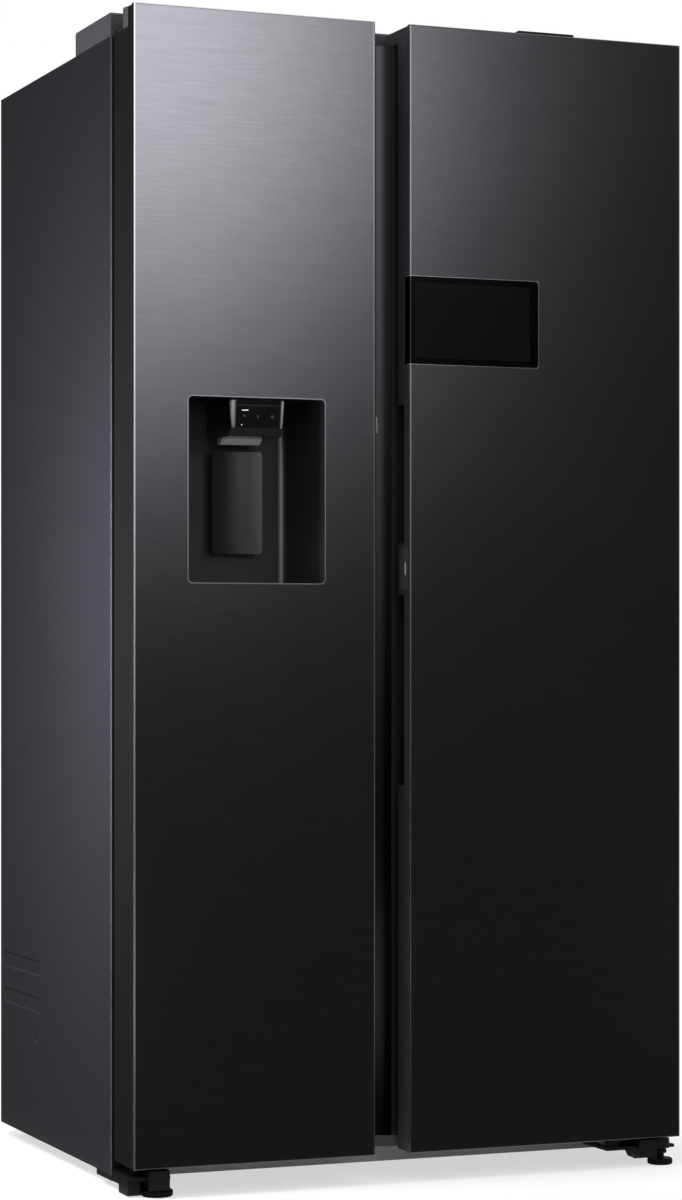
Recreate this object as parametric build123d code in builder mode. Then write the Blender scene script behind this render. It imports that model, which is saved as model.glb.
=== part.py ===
from build123d import *
import os

# Side-by-side fridge-freezer in millimetres: +Z up, the front faces -Y,
# and the origin is on the floor under the middle of the cabinet.

# Overall size
WIDTH = 912
DEPTH = 716
HEIGHT = 1785
SIDE = WIDTH / 2
FRONT = -DEPTH / 2
BACK = DEPTH / 2

# Cabinet shell and insulation
CASE_FRONT = -249
CASE_BOTTOM = 22
CASE_TOP = 1748
SHEET = 1
CASE_EDGE = 3
FRONT_FLANGE = 20
REAR_FLANGE = 15
FRAME_FRONT = CASE_FRONT + SHEET
FOAM_FRONT = -245
PANEL_THICK = 1.5
BACK_PANEL_INNER = BACK - SHEET - PANEL_THICK
BASE_THICK = 2
RAIL_TOP = 50
RAIL_LOW = 18
RUNNER_LOW = 13
RUNNER_WIDE = 8
RUNNER_BACK = -172

# Compartments, measured inside their liners
FREEZER_LEFT = -405
FREEZER_RIGHT = -72
FRIDGE_LEFT = -7
FRIDGE_RIGHT = 405
ROOM_FLOOR = 96
ROOM_CEILING = 1697
ROOM_BACK = 288
STEP_FRONT = 96
STEP_TOP = 356
LINER = 1.5

# Machine space at the back of the base
MACHINE_FRONT = 150
MACHINE_TOP = 302

# Doors: h runs from a door's hinge edge towards its grip
DOOR_BOTTOM = 45
DOOR_TOP = 1779
DOOR_BACK = -260
SKIN = 1
SKIN_RETURN = 10
SKIN_EDGE = 2.2
GROOVE = 2
CAP_BOTTOM = 63
CAP_TOP = 1758
LIP_BACK = -308
GRIP_LIP_BACK = -333
POCKET_BACK = -286
POCKET_DEPTH = 36
FLANGE_EDGE = -276
GRIP_LOW = 609
GRIP_HIGH = 1197
FREEZER_SIDE = -1
FREEZER_PANEL = 388
FREEZER_FLANGE = 413.6
FRIDGE_SIDE = 1
FRIDGE_PANEL = 467
FRIDGE_FLANGE = 492.4

# Door hinges
PIN_H = 22
PIN_X = SIDE - PIN_H
PIN_Y = -302
PIN_R = 6
PIN_FIT = 0.06
PIN_LENGTH = 36
KNUCKLE_R = 20
ARM_HALF = 12
ARM_LOW = 1749.5
ARM_HIGH = 1754.5
KNUCKLE_TOP = 1782
NOTCH_FLOOR = 1748
NOTCH_H = 44
NOTCH_FRONT = -326

# Door inside
DOOR_LINER = 2
LINER_BACK = DOOR_BACK + DOOR_LINER
DOOR_LINER_LOW = 52
DOOR_LINER_HIGH = 1745
GASKET_H = 28
GASKET_WIDE = 18
GASKET_LOW = 66
GASKET_HIGH = 1721
GASKET_FOOT = 4
GASKET_END_INSET = 6
RIDGE_H = 56
RIDGE_WIDE = 20
RIDGE_BACK = -212
RIDGE_END_INSET = 24
BIN_WALL = 2.5
BIN_CORNER = 16
SLIM_BACK = -198
DEEP_BACK = -150
LEDGE = 8
LEDGE_EDGE = 4
LEDGE_ROOT = 12
LEDGE_FRONT = -120
LEDGE_SHORT = 10

# Dispenser in the freezer door
RECESS_LEFT = -372
RECESS_RIGHT = -150
RECESS_LOW = 917
RECESS_HIGH = 1199
RECESS_BACK = -236
RECESS_TAPER = 20
RECESS_CORNER = 8
RECESS_ROUND = 8
RECESS_MID = (RECESS_LEFT + RECESS_RIGHT) / 2
DISPENSE_X = -256.3
BEZEL = 1.6
BEZEL_BACK = FRONT + 3
TUB_WALL = 3

# Touch screen and touch plate on the fridge door
SCREEN_RIGHT = 207
SCREEN_LOW = 1257.5
SCREEN_HIGH = 1392.5
SCREEN_WRAP = -339
SCREEN_THICK = 4
SCREEN_CORNER = 6
SCREEN_OVERRUN = 8
PLATE_LOW = 910
PLATE_HIGH = 976
PLATE_ROUND = 4
PLATE_MARGIN = 7
PLATE_Y = (-346, -318)

# Feet and rollers
ROLLER_R = 12
ROLLER_WIDE = 12
AXLE_R = 3
RUN_FIT = 0.08
LEFT_ROLLER = (-446, -304)
RIGHT_ROLLER = (418, -282)
FRONT_ROLLER_Z = ROLLER_R + 1.5
REAR_ROLLER_X = 410
REAR_ROLLER_Y = 300
LEFT_FOOT = (-409, -325)
RIGHT_FOOT = (432, -335)
LEFT_FOOT_R = 24
RIGHT_FOOT_R = 20
FOOT_HIGH = 10
FOOT_ROUND = 3
FOOT_FLUTES = 16
FLUTE_R = 1.6
STEM_R = 6

os.makedirs("parts", exist_ok=True)


def write_piece(builder, name):
    """Label a finished piece and write its file."""
    builder.part.label = name
    export_step(builder.part, f"parts/{name}.step")


def block(x, y, z, mode=Mode.ADD):
    """Add or cut a block given by its limits along each axis."""
    low = (min(x), min(y), min(z))
    with Locations(low):
        Box(
            abs(x[1] - x[0]),
            abs(y[1] - y[0]),
            abs(z[1] - z[0]),
            align=(Align.MIN, Align.MIN, Align.MIN),
            mode=mode,
        )


def front_rounded(x, y, z, radius, mode=Mode.ADD):
    """Add or cut a block whose two upright front edges are rounded."""
    with BuildSketch(Plane.XY.offset(z[0])) as plan:
        with Locations(((x[0] + x[1]) / 2, (y[0] + y[1]) / 2)):
            Rectangle(x[1] - x[0], y[1] - y[0])
        fillet(plan.vertices().group_by(Axis.Y)[0], radius=radius)
    extrude(plan.sketch, amount=z[1] - z[0], mode=mode)


def post(x, y, z, radius, mode=Mode.ADD):
    """Add or cut an upright cylinder between two heights."""
    with Locations((x, y, z[0])):
        Cylinder(radius, z[1] - z[0], align=(Align.CENTER, Align.CENTER, Align.MIN), mode=mode)


def rod(x, y, z, radius, mode=Mode.ADD):
    """Add or cut a cylinder that lies along X between two places."""
    with Locations(Plane(origin=(x[0], y, z), x_dir=(0, 1, 0), z_dir=(1, 0, 0))):
        Cylinder(radius, x[1] - x[0], align=(Align.CENTER, Align.CENTER, Align.MIN), mode=mode)


def spindle(x, y, z, radius, mode=Mode.ADD):
    """Add or cut a cylinder that lies along Y between two places."""
    with Locations(Plane(origin=(x, y[0], z), x_dir=(1, 0, 0), z_dir=(0, 1, 0))):
        Cylinder(radius, y[1] - y[0], align=(Align.CENTER, Align.CENTER, Align.MIN), mode=mode)


def door_x(side, h):
    """The X of a place that is h from the hinge edge of a door."""
    return side * (SIDE - h)


# Painted steel outer case: a wrap with returns at the front and the back
STAMP_DEEP = 0.5
SLOT_ENDS = (120, 340)
SLOT_HEIGHTS = (300, 240)
SLOT_TALL = 26
SLOT_CORNER = 6
DIMPLE_Y = 151
DIMPLE_HEIGHTS = (186, 134, 77)
DIMPLE_R = 9
with BuildPart() as outer_case:
    front_rounded((-SIDE, SIDE), (CASE_FRONT, BACK), (CASE_BOTTOM, CASE_TOP), CASE_EDGE)
    inner = SIDE - SHEET
    inner_edge = CASE_EDGE - SHEET
    front_rounded(
        (-inner, inner),
        (CASE_FRONT + SHEET, BACK - SHEET),
        (CASE_BOTTOM, CASE_TOP - SHEET),
        inner_edge,
        Mode.SUBTRACT,
    )
    front_hole = SIDE - FRONT_FLANGE
    block(
        (-front_hole, front_hole),
        (CASE_FRONT, CASE_FRONT + SHEET),
        (CASE_BOTTOM, CASE_TOP - FRONT_FLANGE),
        Mode.SUBTRACT,
    )
    rear_hole = SIDE - REAR_FLANGE
    block(
        (-rear_hole, rear_hole),
        (BACK - SHEET, BACK),
        (CASE_BOTTOM, CASE_TOP - REAR_FLANGE),
        Mode.SUBTRACT,
    )
    for side in (-1, 1):
        with BuildSketch(Plane(origin=(side * SIDE, 0, 0), x_dir=(0, 1, 0), z_dir=(1, 0, 0))):
            with Locations(*[(sum(SLOT_ENDS) / 2, z) for z in SLOT_HEIGHTS]):
                RectangleRounded(SLOT_ENDS[1] - SLOT_ENDS[0], SLOT_TALL, SLOT_CORNER)
            with Locations(*[(DIMPLE_Y, z) for z in DIMPLE_HEIGHTS]):
                Circle(DIMPLE_R)
        extrude(amount=-side * STAMP_DEEP, mode=Mode.SUBTRACT)
write_piece(outer_case, "outer_case")

# Back sheet with pressed stiffening beads
BEAD_XS = (-300, -100, 100, 300)
BEAD_WIDE = 30
BEAD_TALL = 1200
BEAD_MIDDLE = 1020
BEAD_CORNER = 14
BEAD_HIGH = 0.8
with BuildPart() as back_panel:
    block((-inner, inner), (BACK_PANEL_INNER, BACK - SHEET), (MACHINE_TOP, CASE_TOP - SHEET))
    with BuildSketch(Plane(origin=(0, BACK - SHEET, 0), x_dir=(1, 0, 0), z_dir=(0, -1, 0))):
        with Locations(*[(x, BEAD_MIDDLE) for x in BEAD_XS]):
            RectangleRounded(BEAD_WIDE, BEAD_TALL, BEAD_CORNER)
    extrude(amount=-BEAD_HIGH)
write_piece(back_panel, "back_panel")


def room_outline(grow):
    """Side outline of a compartment, stepped over the machine space and grown outwards."""
    return [
        (FOAM_FRONT, ROOM_FLOOR - grow),
        (STEP_FRONT + grow, ROOM_FLOOR - grow),
        (STEP_FRONT + grow, STEP_TOP - grow),
        (ROOM_BACK + grow, STEP_TOP - grow),
        (ROOM_BACK + grow, ROOM_CEILING + grow),
        (FOAM_FRONT, ROOM_CEILING + grow),
    ]


def room(left, right, grow, mode):
    """Add or cut a whole compartment volume, grown by a wall thickness."""
    with BuildSketch(Plane(origin=(left - grow, 0, 0), x_dir=(0, 1, 0), z_dir=(1, 0, 0))) as outline:
        with BuildLine():
            Polyline(*room_outline(grow), close=True)
        make_face()
    extrude(outline.sketch, amount=right - left + 2 * grow, mode=mode)


# Rigid foam between the case and the two liners
with BuildPart() as cabinet_foam:
    block(
        (-inner, inner),
        (FOAM_FRONT, BACK_PANEL_INNER),
        (CASE_BOTTOM + BASE_THICK, CASE_TOP - SHEET),
    )
    room(FREEZER_LEFT, FREEZER_RIGHT, LINER, Mode.SUBTRACT)
    room(FRIDGE_LEFT, FRIDGE_RIGHT, LINER, Mode.SUBTRACT)
    block((-inner, inner), (MACHINE_FRONT, BACK_PANEL_INNER), (CASE_BOTTOM, MACHINE_TOP), Mode.SUBTRACT)
write_piece(cabinet_foam, "cabinet_foam")

# Steel front frame that the door seals close on
with BuildPart() as front_frame:
    front_rounded((-inner, inner), (FRAME_FRONT, FOAM_FRONT), (RAIL_TOP, CASE_TOP - SHEET), inner_edge)
    for left, right in ((FREEZER_LEFT, FREEZER_RIGHT), (FRIDGE_LEFT, FRIDGE_RIGHT)):
        block(
            (left - LINER, right + LINER),
            (FRAME_FRONT, FOAM_FRONT),
            (ROOM_FLOOR - LINER, ROOM_CEILING + LINER),
            Mode.SUBTRACT,
        )
write_piece(front_frame, "front_frame")

# Base: bottom sheet with a deep front rail, side runners and rear roller forks
FORK_WALL = 2
FORK_LOW = 5
FORK_LONG = 34
FORK_GAP = 1
FORK_HALF = ROLLER_WIDE / 2 + FORK_GAP
WELL_HALF = ROLLER_R + 3
VENT_WIDE = 10
VENT_Y = (180, 320)
VENT_XS = [170 + i * 24 for i in range(6)]
with BuildPart() as base_frame:
    sheet_z = (CASE_BOTTOM, CASE_BOTTOM + BASE_THICK)
    front_rounded((-inner, inner), (FRAME_FRONT, BACK - SHEET), sheet_z, inner_edge)
    block((-front_hole, front_hole), (CASE_FRONT, FOAM_FRONT), (RAIL_LOW, RAIL_TOP))
    for side in (-1, 1):
        block(
            (side * (inner - RUNNER_WIDE), side * inner),
            (FRAME_FRONT, RUNNER_BACK),
            (RUNNER_LOW, CASE_BOTTOM),
        )
    for x in (-REAR_ROLLER_X, REAR_ROLLER_X):
        for wall in (-1, 1):
            start = x + wall * FORK_HALF
            block(
                (start, start + wall * FORK_WALL),
                (REAR_ROLLER_Y - FORK_LONG / 2, REAR_ROLLER_Y + FORK_LONG / 2),
                (FORK_LOW, CASE_BOTTOM),
            )
        half = FORK_HALF + FORK_WALL
        rod((x - half, x + half), REAR_ROLLER_Y, ROLLER_R, AXLE_R)
    for x in (-REAR_ROLLER_X, REAR_ROLLER_X):
        block(
            (x - FORK_HALF, x + FORK_HALF),
            (REAR_ROLLER_Y - WELL_HALF, REAR_ROLLER_Y + WELL_HALF),
            sheet_z,
            Mode.SUBTRACT,
        )
    for x in VENT_XS:
        block((x, x + VENT_WIDE), VENT_Y, sheet_z, Mode.SUBTRACT)
write_piece(base_frame, "base_frame")


def liner(left, right, ledge_heights, ledge_back):
    """One compartment liner: a thin stepped shell with ledges for shelves and drawers."""
    with BuildPart() as shell:
        room(left, right, LINER, Mode.ADD)
        block(
            (left - LINER, right + LINER),
            (FRAME_FRONT, FOAM_FRONT),
            (ROOM_FLOOR - LINER, ROOM_CEILING + LINER),
        )
        room(left, right, 0, Mode.SUBTRACT)
        block((left, right), (FRAME_FRONT, FOAM_FRONT), (ROOM_FLOOR, ROOM_CEILING), Mode.SUBTRACT)
        for z in ledge_heights:
            back = STEP_FRONT if z < STEP_TOP else ledge_back
            for wall, turn in ((left, 1), (right, -1)):
                start = Plane(origin=(wall, LEDGE_FRONT, z), x_dir=(turn, 0, 0), z_dir=(0, turn, 0))
                with BuildSketch(start):
                    with BuildLine():
                        Polyline((0, 0), (LEDGE, 0), (LEDGE, LEDGE_EDGE), (0, LEDGE_ROOT), close=True)
                    make_face()
                extrude(amount=turn * (back - LEDGE_FRONT))
    return shell


# Heights of the shelf and drawer undersides
DRAWER_LOW = 108
DRAWER_UP = 370
FREEZER_SHELVES = (640, 880, 1120, 1360)
FRIDGE_SHELVES = (610, 840, 1070, 1290, 1490)
FREEZER_DUCT = 212
FRIDGE_DUCT = 262
SHELF_FRONT = -130
SHELF_SIDE_GAP = 2
SHELF_BACK_GAP = 12
GLASS = 5
TRIM_DEEP = 8
TRIM_Z = (-6, 10)
REAR_LIP_DEEP = 4
REAR_LIP_TOP = 14
freezer_liner = liner(
    FREEZER_LEFT, FREEZER_RIGHT, (DRAWER_LOW, DRAWER_UP) + FREEZER_SHELVES, FREEZER_DUCT - LEDGE_SHORT
)
write_piece(freezer_liner, "freezer_liner")
fridge_liner = liner(
    FRIDGE_LEFT, FRIDGE_RIGHT, (DRAWER_LOW, DRAWER_UP) + FRIDGE_SHELVES, FRIDGE_DUCT - LEDGE_SHORT
)
write_piece(fridge_liner, "fridge_liner")


def shelves(left, right, heights, back):
    """Glass shelves with a raised trim along the front and a lip at the back."""
    with BuildPart() as stack:
        for z in heights:
            x = (left + SHELF_SIDE_GAP, right - SHELF_SIDE_GAP)
            block(x, (SHELF_FRONT + TRIM_DEEP, back), (z, z + GLASS))
            block(x, (SHELF_FRONT, SHELF_FRONT + TRIM_DEEP), (z + TRIM_Z[0], z + TRIM_Z[1]))
            block(x, (back - REAR_LIP_DEEP, back), (z + GLASS, z + REAR_LIP_TOP))
    return stack


freezer_shelves = shelves(FREEZER_LEFT, FREEZER_RIGHT, FREEZER_SHELVES, FREEZER_DUCT - SHELF_BACK_GAP)
write_piece(freezer_shelves, "freezer_shelves")
fridge_shelves = shelves(FRIDGE_LEFT, FRIDGE_RIGHT, FRIDGE_SHELVES, FRIDGE_DUCT - SHELF_BACK_GAP)
write_piece(fridge_shelves, "fridge_shelves")


DRAWER_CLEAR = 4
DRAWER_CORNER = 14
DRAWER_RIM = 4
PULL_WIDE = 150
PULL_TALL = 22
PULL_DROP = 18


def drawer(left, right, low, high, back):
    """A pull-out drawer: a tub with rounded corners, side runners and a finger pull in its front."""
    x = (left + LEDGE + DRAWER_CLEAR, right - LEDGE - DRAWER_CLEAR)
    with BuildPart() as tub:
        with BuildSketch(Plane.XY.offset(low)):
            with Locations(((x[0] + x[1]) / 2, (SHELF_FRONT + back) / 2)):
                RectangleRounded(x[1] - x[0], back - SHELF_FRONT, DRAWER_CORNER)
        extrude(amount=high - low)
        top = tub.faces().sort_by(Axis.Z)[-1]
        offset(amount=-BIN_WALL, openings=top)
        rim = (left + DRAWER_CLEAR, right - DRAWER_CLEAR)
        for edge, start in ((rim[0], x[0]), (rim[1], x[1])):
            run = (SHELF_FRONT + DRAWER_CORNER, back - DRAWER_CORNER)
            block((edge, start), run, (low, low + DRAWER_RIM))
        middle = (x[0] + x[1]) / 2
        with BuildSketch(Plane(origin=(0, SHELF_FRONT, 0), x_dir=(1, 0, 0), z_dir=(0, -1, 0))):
            with Locations((middle, high - PULL_DROP)):
                SlotOverall(PULL_WIDE, PULL_TALL)
        extrude(amount=-BIN_WALL, mode=Mode.SUBTRACT)
    return tub


LOW_DRAWER_TOP = 340
FREEZER_DRAWER_TOP = 600
CRISPER_TOP = 580
LOW_DRAWER_BACK = STEP_FRONT - 8
FREEZER_BACK = FREEZER_DUCT - SHELF_BACK_GAP
FRIDGE_BACK = FRIDGE_DUCT - SHELF_BACK_GAP
DRAWERS = (
    ("freezer_drawer_lower", FREEZER_LEFT, FREEZER_RIGHT, DRAWER_LOW, LOW_DRAWER_TOP, LOW_DRAWER_BACK),
    ("freezer_drawer_upper", FREEZER_LEFT, FREEZER_RIGHT, DRAWER_UP, FREEZER_DRAWER_TOP, FREEZER_BACK),
    ("crisper_lower", FRIDGE_LEFT, FRIDGE_RIGHT, DRAWER_LOW, LOW_DRAWER_TOP, LOW_DRAWER_BACK),
    ("crisper_upper", FRIDGE_LEFT, FRIDGE_RIGHT, DRAWER_UP, CRISPER_TOP, FRIDGE_BACK),
)
for name, left, right, low, high, back in DRAWERS:
    tub = drawer(left, right, low, high, back)
    write_piece(tub, name)

# Freezer air duct: a wall in front of the evaporator with vents and the fan mouth
FREEZER_MID = (FREEZER_LEFT + FREEZER_RIGHT) / 2
FRIDGE_MID = (FRIDGE_LEFT + FRIDGE_RIGHT) / 2
FAN_Z = 760
FAN_R = 50
FAN_MOUTH_R = FAN_R + 4
DUCT_THICK = 5
DUCT_VENT_HALF = 22
DUCT_VENT_XS = (-90, -30, 30, 90)
TOWER_VENT_HALF = 20
TOWER_VENT_XS = (-60, 0, 60)
TOWER_VENT_DEEP = 8
TOWER_VENT_HEIGHTS = (560, 790, 1020, 1240, 1450, 1600)
TOWER_FRONT_HALF = 100
TOWER_BACK_HALF = 120
TOWER_TOP_GAP = 10
VENT_HALF_TALL = 5
BAR_HALF = 8
BAR_FOOT = FAN_R + 14
BAR_FOOT_HALF = 5
MOTOR_R = 18
MOTOR_DEEP = 16
VENT_HEIGHTS = (460, 540, 1000, 1240, 1480, 1620)
FAN_BAR_Y = (258, 264)
FAN_SHAFT_R = 3
with BuildPart() as freezer_duct:
    block(
        (FREEZER_LEFT, FREEZER_RIGHT),
        (FREEZER_DUCT, FREEZER_DUCT + DUCT_THICK),
        (STEP_TOP, ROOM_CEILING),
    )
    spindle(FREEZER_MID, (FREEZER_DUCT, FREEZER_DUCT + DUCT_THICK), FAN_Z, FAN_MOUTH_R, Mode.SUBTRACT)
    for z in VENT_HEIGHTS:
        for x in DUCT_VENT_XS:
            middle = FREEZER_MID + x
            block(
                (middle - DUCT_VENT_HALF, middle + DUCT_VENT_HALF),
                (FREEZER_DUCT, FREEZER_DUCT + DUCT_THICK),
                (z - VENT_HALF_TALL, z + VENT_HALF_TALL),
                Mode.SUBTRACT,
            )
    bar_z = (FAN_Z - BAR_HALF, FAN_Z + BAR_HALF)
    for turn in (-1, 1):
        foot = FREEZER_MID + turn * BAR_FOOT
        block((foot - BAR_FOOT_HALF, foot + BAR_FOOT_HALF), (FREEZER_DUCT + DUCT_THICK, FAN_BAR_Y[1]), bar_z)
    block((FREEZER_MID - BAR_FOOT, FREEZER_MID + BAR_FOOT), FAN_BAR_Y, bar_z)
    motor_front = FAN_BAR_Y[0] - MOTOR_DEEP
    spindle(FREEZER_MID, (motor_front, FAN_BAR_Y[0]), FAN_Z, MOTOR_R)
    spindle(FREEZER_MID, (motor_front, FAN_BAR_Y[1]), FAN_Z, FAN_SHAFT_R + RUN_FIT, Mode.SUBTRACT)
write_piece(freezer_duct, "freezer_duct")

# Fridge air duct: a slim tower up the back wall with side vents
with BuildPart() as fridge_duct:
    with BuildSketch(Plane.XY.offset(STEP_TOP)):
        with BuildLine():
            Polyline(
                (FRIDGE_MID - TOWER_BACK_HALF, ROOM_BACK),
                (FRIDGE_MID - TOWER_FRONT_HALF, FRIDGE_DUCT),
                (FRIDGE_MID + TOWER_FRONT_HALF, FRIDGE_DUCT),
                (FRIDGE_MID + TOWER_BACK_HALF, ROOM_BACK),
                close=True,
            )
        make_face()
    extrude(amount=ROOM_CEILING - TOWER_TOP_GAP - STEP_TOP)
    for z in TOWER_VENT_HEIGHTS:
        for x in TOWER_VENT_XS:
            middle = FRIDGE_MID + x
            block(
                (middle - TOWER_VENT_HALF, middle + TOWER_VENT_HALF),
                (FRIDGE_DUCT, FRIDGE_DUCT + TOWER_VENT_DEEP),
                (z - VENT_HALF_TALL, z + VENT_HALF_TALL),
                Mode.SUBTRACT,
            )
write_piece(fridge_duct, "fridge_duct")

# Lamp bar under the fridge ceiling
LAMP_HALF = 110
LAMP_Y = (-60, -20)
LAMP_DEEP = 12
LAMP_ROUND = 8
with BuildPart() as fridge_lamp:
    block((FRIDGE_MID - LAMP_HALF, FRIDGE_MID + LAMP_HALF), LAMP_Y, (ROOM_CEILING - LAMP_DEEP, ROOM_CEILING))
    long_edges = fridge_lamp.edges().filter_by(Axis.X).group_by(Axis.Z)[0]
    fillet(long_edges, radius=LAMP_ROUND)
write_piece(fridge_lamp, "fridge_lamp")


FIN_HALF = 0.8
END_PLATE_HALF = 2


def finned_coil(x, y, z, fins, tube_heights, tube_y, tube_r, plate_y, plate_z):
    """A heat exchanger: upright fins across X on straight tubes, held by two end plates."""
    with BuildPart() as coil:
        step = (x[1] - x[0]) / (fins + 1)
        for i in range(fins):
            middle = x[0] + step * (i + 1)
            block((middle - FIN_HALF, middle + FIN_HALF), y, z)
        for height in tube_heights:
            rod(x, tube_y, height, tube_r)
        for end in x:
            block((end - END_PLATE_HALF, end + END_PLATE_HALF), plate_y, plate_z)
    return coil


freezer_evaporator = finned_coil(
    x=(FREEZER_LEFT + 20, FREEZER_RIGHT - 20),
    y=(226, 278),
    z=(400, 650),
    fins=11,
    tube_heights=(430, 492, 554, 616),
    tube_y=252,
    tube_r=5,
    plate_y=(240, ROOM_BACK),
    plate_z=(STEP_TOP, 640),
)
write_piece(freezer_evaporator, "freezer_evaporator")


BLADE_ROOT_THICK = 2
BLADE_TIP_THICK = 1.6
BLADE_ROOT_PITCH = 48
BLADE_TIP_PITCH = 24
BLADE_SINK = 3


def bladed_rotor(blades, root_r, tip_r, root_chord, tip_chord, wide, shaft, shaft_r):
    """A fan rotor about Z: a hub on a shaft and twisted blades lofted from root to tip."""
    with BuildPart() as rotor:
        with BuildSketch(Plane(origin=(root_r - BLADE_SINK, 0, 0), x_dir=(0, 1, 0), z_dir=(1, 0, 0))):
            Rectangle(root_chord, BLADE_ROOT_THICK, rotation=BLADE_ROOT_PITCH)
        with BuildSketch(Plane(origin=(tip_r, 0, 0), x_dir=(0, 1, 0), z_dir=(1, 0, 0))):
            Rectangle(tip_chord, BLADE_TIP_THICK, rotation=BLADE_TIP_PITCH)
        loft()
        blade = rotor.part
        with PolarLocations(0, blades, start_angle=360 / blades, angular_range=360):
            add(blade)
        Cylinder(root_r, wide)
        with Locations((0, 0, shaft[0])):
            Cylinder(shaft_r, shaft[1] - shaft[0], align=(Align.CENTER, Align.CENTER, Align.MIN))
    return rotor


FAN_MID_Y = 229
freezer_rotor = bladed_rotor(
    blades=5,
    root_r=16,
    tip_r=FAN_R,
    root_chord=20,
    tip_chord=34,
    wide=18,
    shaft=(0, 32),
    shaft_r=FAN_SHAFT_R,
)
with BuildPart() as freezer_fan:
    with Locations(Plane(origin=(FREEZER_MID, FAN_MID_Y, FAN_Z), x_dir=(1, 0, 0), z_dir=(0, 1, 0))):
        add(freezer_rotor.part)
write_piece(freezer_fan, "freezer_fan")

# Machine space: compressor on rubber feet, condenser, fan, drain pan, rear cover
COMPRESSOR = (-270, 250)
COMPRESSOR_R = 82
COMPRESSOR_LOW = 38
COMPRESSOR_FOOT_R = COMPRESSOR_R - 14
COMPRESSOR_BEND = (COMPRESSOR_R - 4, 48)
COMPRESSOR_WALL_LOW = 70
SEAM_R = COMPRESSOR_R + 4
SEAM_Z = (118, 126)
DOME_BEND = (58, 188)
DOME_TOP = 208
DOME_FLAT = 14
CRADLE = (105, 62)
CRADLE_Z = (35, 39)
RUBBER_XS = (-90, 90)
RUBBER_YS = (-48, 48)
RUBBER_R = 12
PIPE_LOW = 170
FLOOR = CASE_BOTTOM + BASE_THICK
with BuildPart() as compressor:
    with BuildSketch(Plane(origin=(*COMPRESSOR, 0), x_dir=(1, 0, 0), z_dir=(0, -1, 0))):
        with BuildLine():
            foot = Line((0, COMPRESSOR_LOW), (COMPRESSOR_FOOT_R, COMPRESSOR_LOW))
            low_bend = ThreePointArc(foot @ 1, COMPRESSOR_BEND, (COMPRESSOR_R, COMPRESSOR_WALL_LOW))
            Polyline(
                low_bend @ 1,
                (COMPRESSOR_R, SEAM_Z[0]),
                (SEAM_R, SEAM_Z[0]),
                (SEAM_R, SEAM_Z[1]),
                (COMPRESSOR_R, SEAM_Z[1]),
            )
            dome = ThreePointArc((COMPRESSOR_R, SEAM_Z[1]), DOME_BEND, (DOME_FLAT, DOME_TOP))
            Polyline(dome @ 1, (0, DOME_TOP), foot @ 0)
        make_face()
    revolve(axis=Axis((*COMPRESSOR, 0), (0, 0, 1)))
    block(
        (COMPRESSOR[0] - CRADLE[0], COMPRESSOR[0] + CRADLE[0]),
        (COMPRESSOR[1] - CRADLE[1], COMPRESSOR[1] + CRADLE[1]),
        CRADLE_Z,
    )
    for x in RUBBER_XS:
        for y in RUBBER_YS:
            post(COMPRESSOR[0] + x, COMPRESSOR[1] + y, (FLOOR, COMPRESSOR_LOW), RUBBER_R)
    for x, top, radius in ((40, 262, 4), (-40, 250, 5)):
        post(COMPRESSOR[0] + x, COMPRESSOR[1] + 30, (PIPE_LOW, top), radius)
write_piece(compressor, "compressor")

condenser = finned_coil(
    x=(150, 330),
    y=(185, 325),
    z=(66, 270),
    fins=9,
    tube_heights=(96, 144, 192, 240),
    tube_y=255,
    tube_r=5,
    plate_y=(205, 305),
    plate_z=(FLOOR, 272),
)
write_piece(condenser, "condenser")

SHROUD_X = (30, 34)
CONDENSER_FAN = (252, 160)
CONDENSER_FAN_R = 82
MOTOR_X = (58, 84)
CONDENSER_MOTOR_R = 24
SHROUD_Y = (162, 342)
SHROUD_TOP = 284
STRUT_Z = (150, 170)
STRUT_THICK = 4
STRUT_IN = CONDENSER_FAN_R + 2
STRUT_OUT = STRUT_IN + STRUT_THICK
with BuildPart() as fan_shroud:
    block(SHROUD_X, SHROUD_Y, (FLOOR, SHROUD_TOP))
    rod(SHROUD_X, *CONDENSER_FAN, CONDENSER_FAN_R + 4, Mode.SUBTRACT)
    for turn in (-1, 1):
        strut = (CONDENSER_FAN[0] + turn * STRUT_IN, CONDENSER_FAN[0] + turn * STRUT_OUT)
        block((SHROUD_X[0], MOTOR_X[1]), strut, STRUT_Z)
    block(
        (MOTOR_X[1] - STRUT_THICK, MOTOR_X[1]),
        (CONDENSER_FAN[0] - STRUT_OUT, CONDENSER_FAN[0] + STRUT_OUT),
        STRUT_Z,
    )
    rod(MOTOR_X, *CONDENSER_FAN, CONDENSER_MOTOR_R)
    rod(MOTOR_X, *CONDENSER_FAN, FAN_SHAFT_R + RUN_FIT, Mode.SUBTRACT)
write_piece(fan_shroud, "fan_shroud")

condenser_rotor = bladed_rotor(
    blades=5,
    root_r=22,
    tip_r=CONDENSER_FAN_R - 2,
    root_chord=26,
    tip_chord=52,
    wide=24,
    shaft=(0, 46),
    shaft_r=FAN_SHAFT_R,
)
CONDENSER_FAN_X = 38
with BuildPart() as condenser_fan:
    with Locations(Plane(origin=(CONDENSER_FAN_X, *CONDENSER_FAN), x_dir=(0, 1, 0), z_dir=(1, 0, 0))):
        add(condenser_rotor.part)
write_piece(condenser_fan, "condenser_fan")

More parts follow.
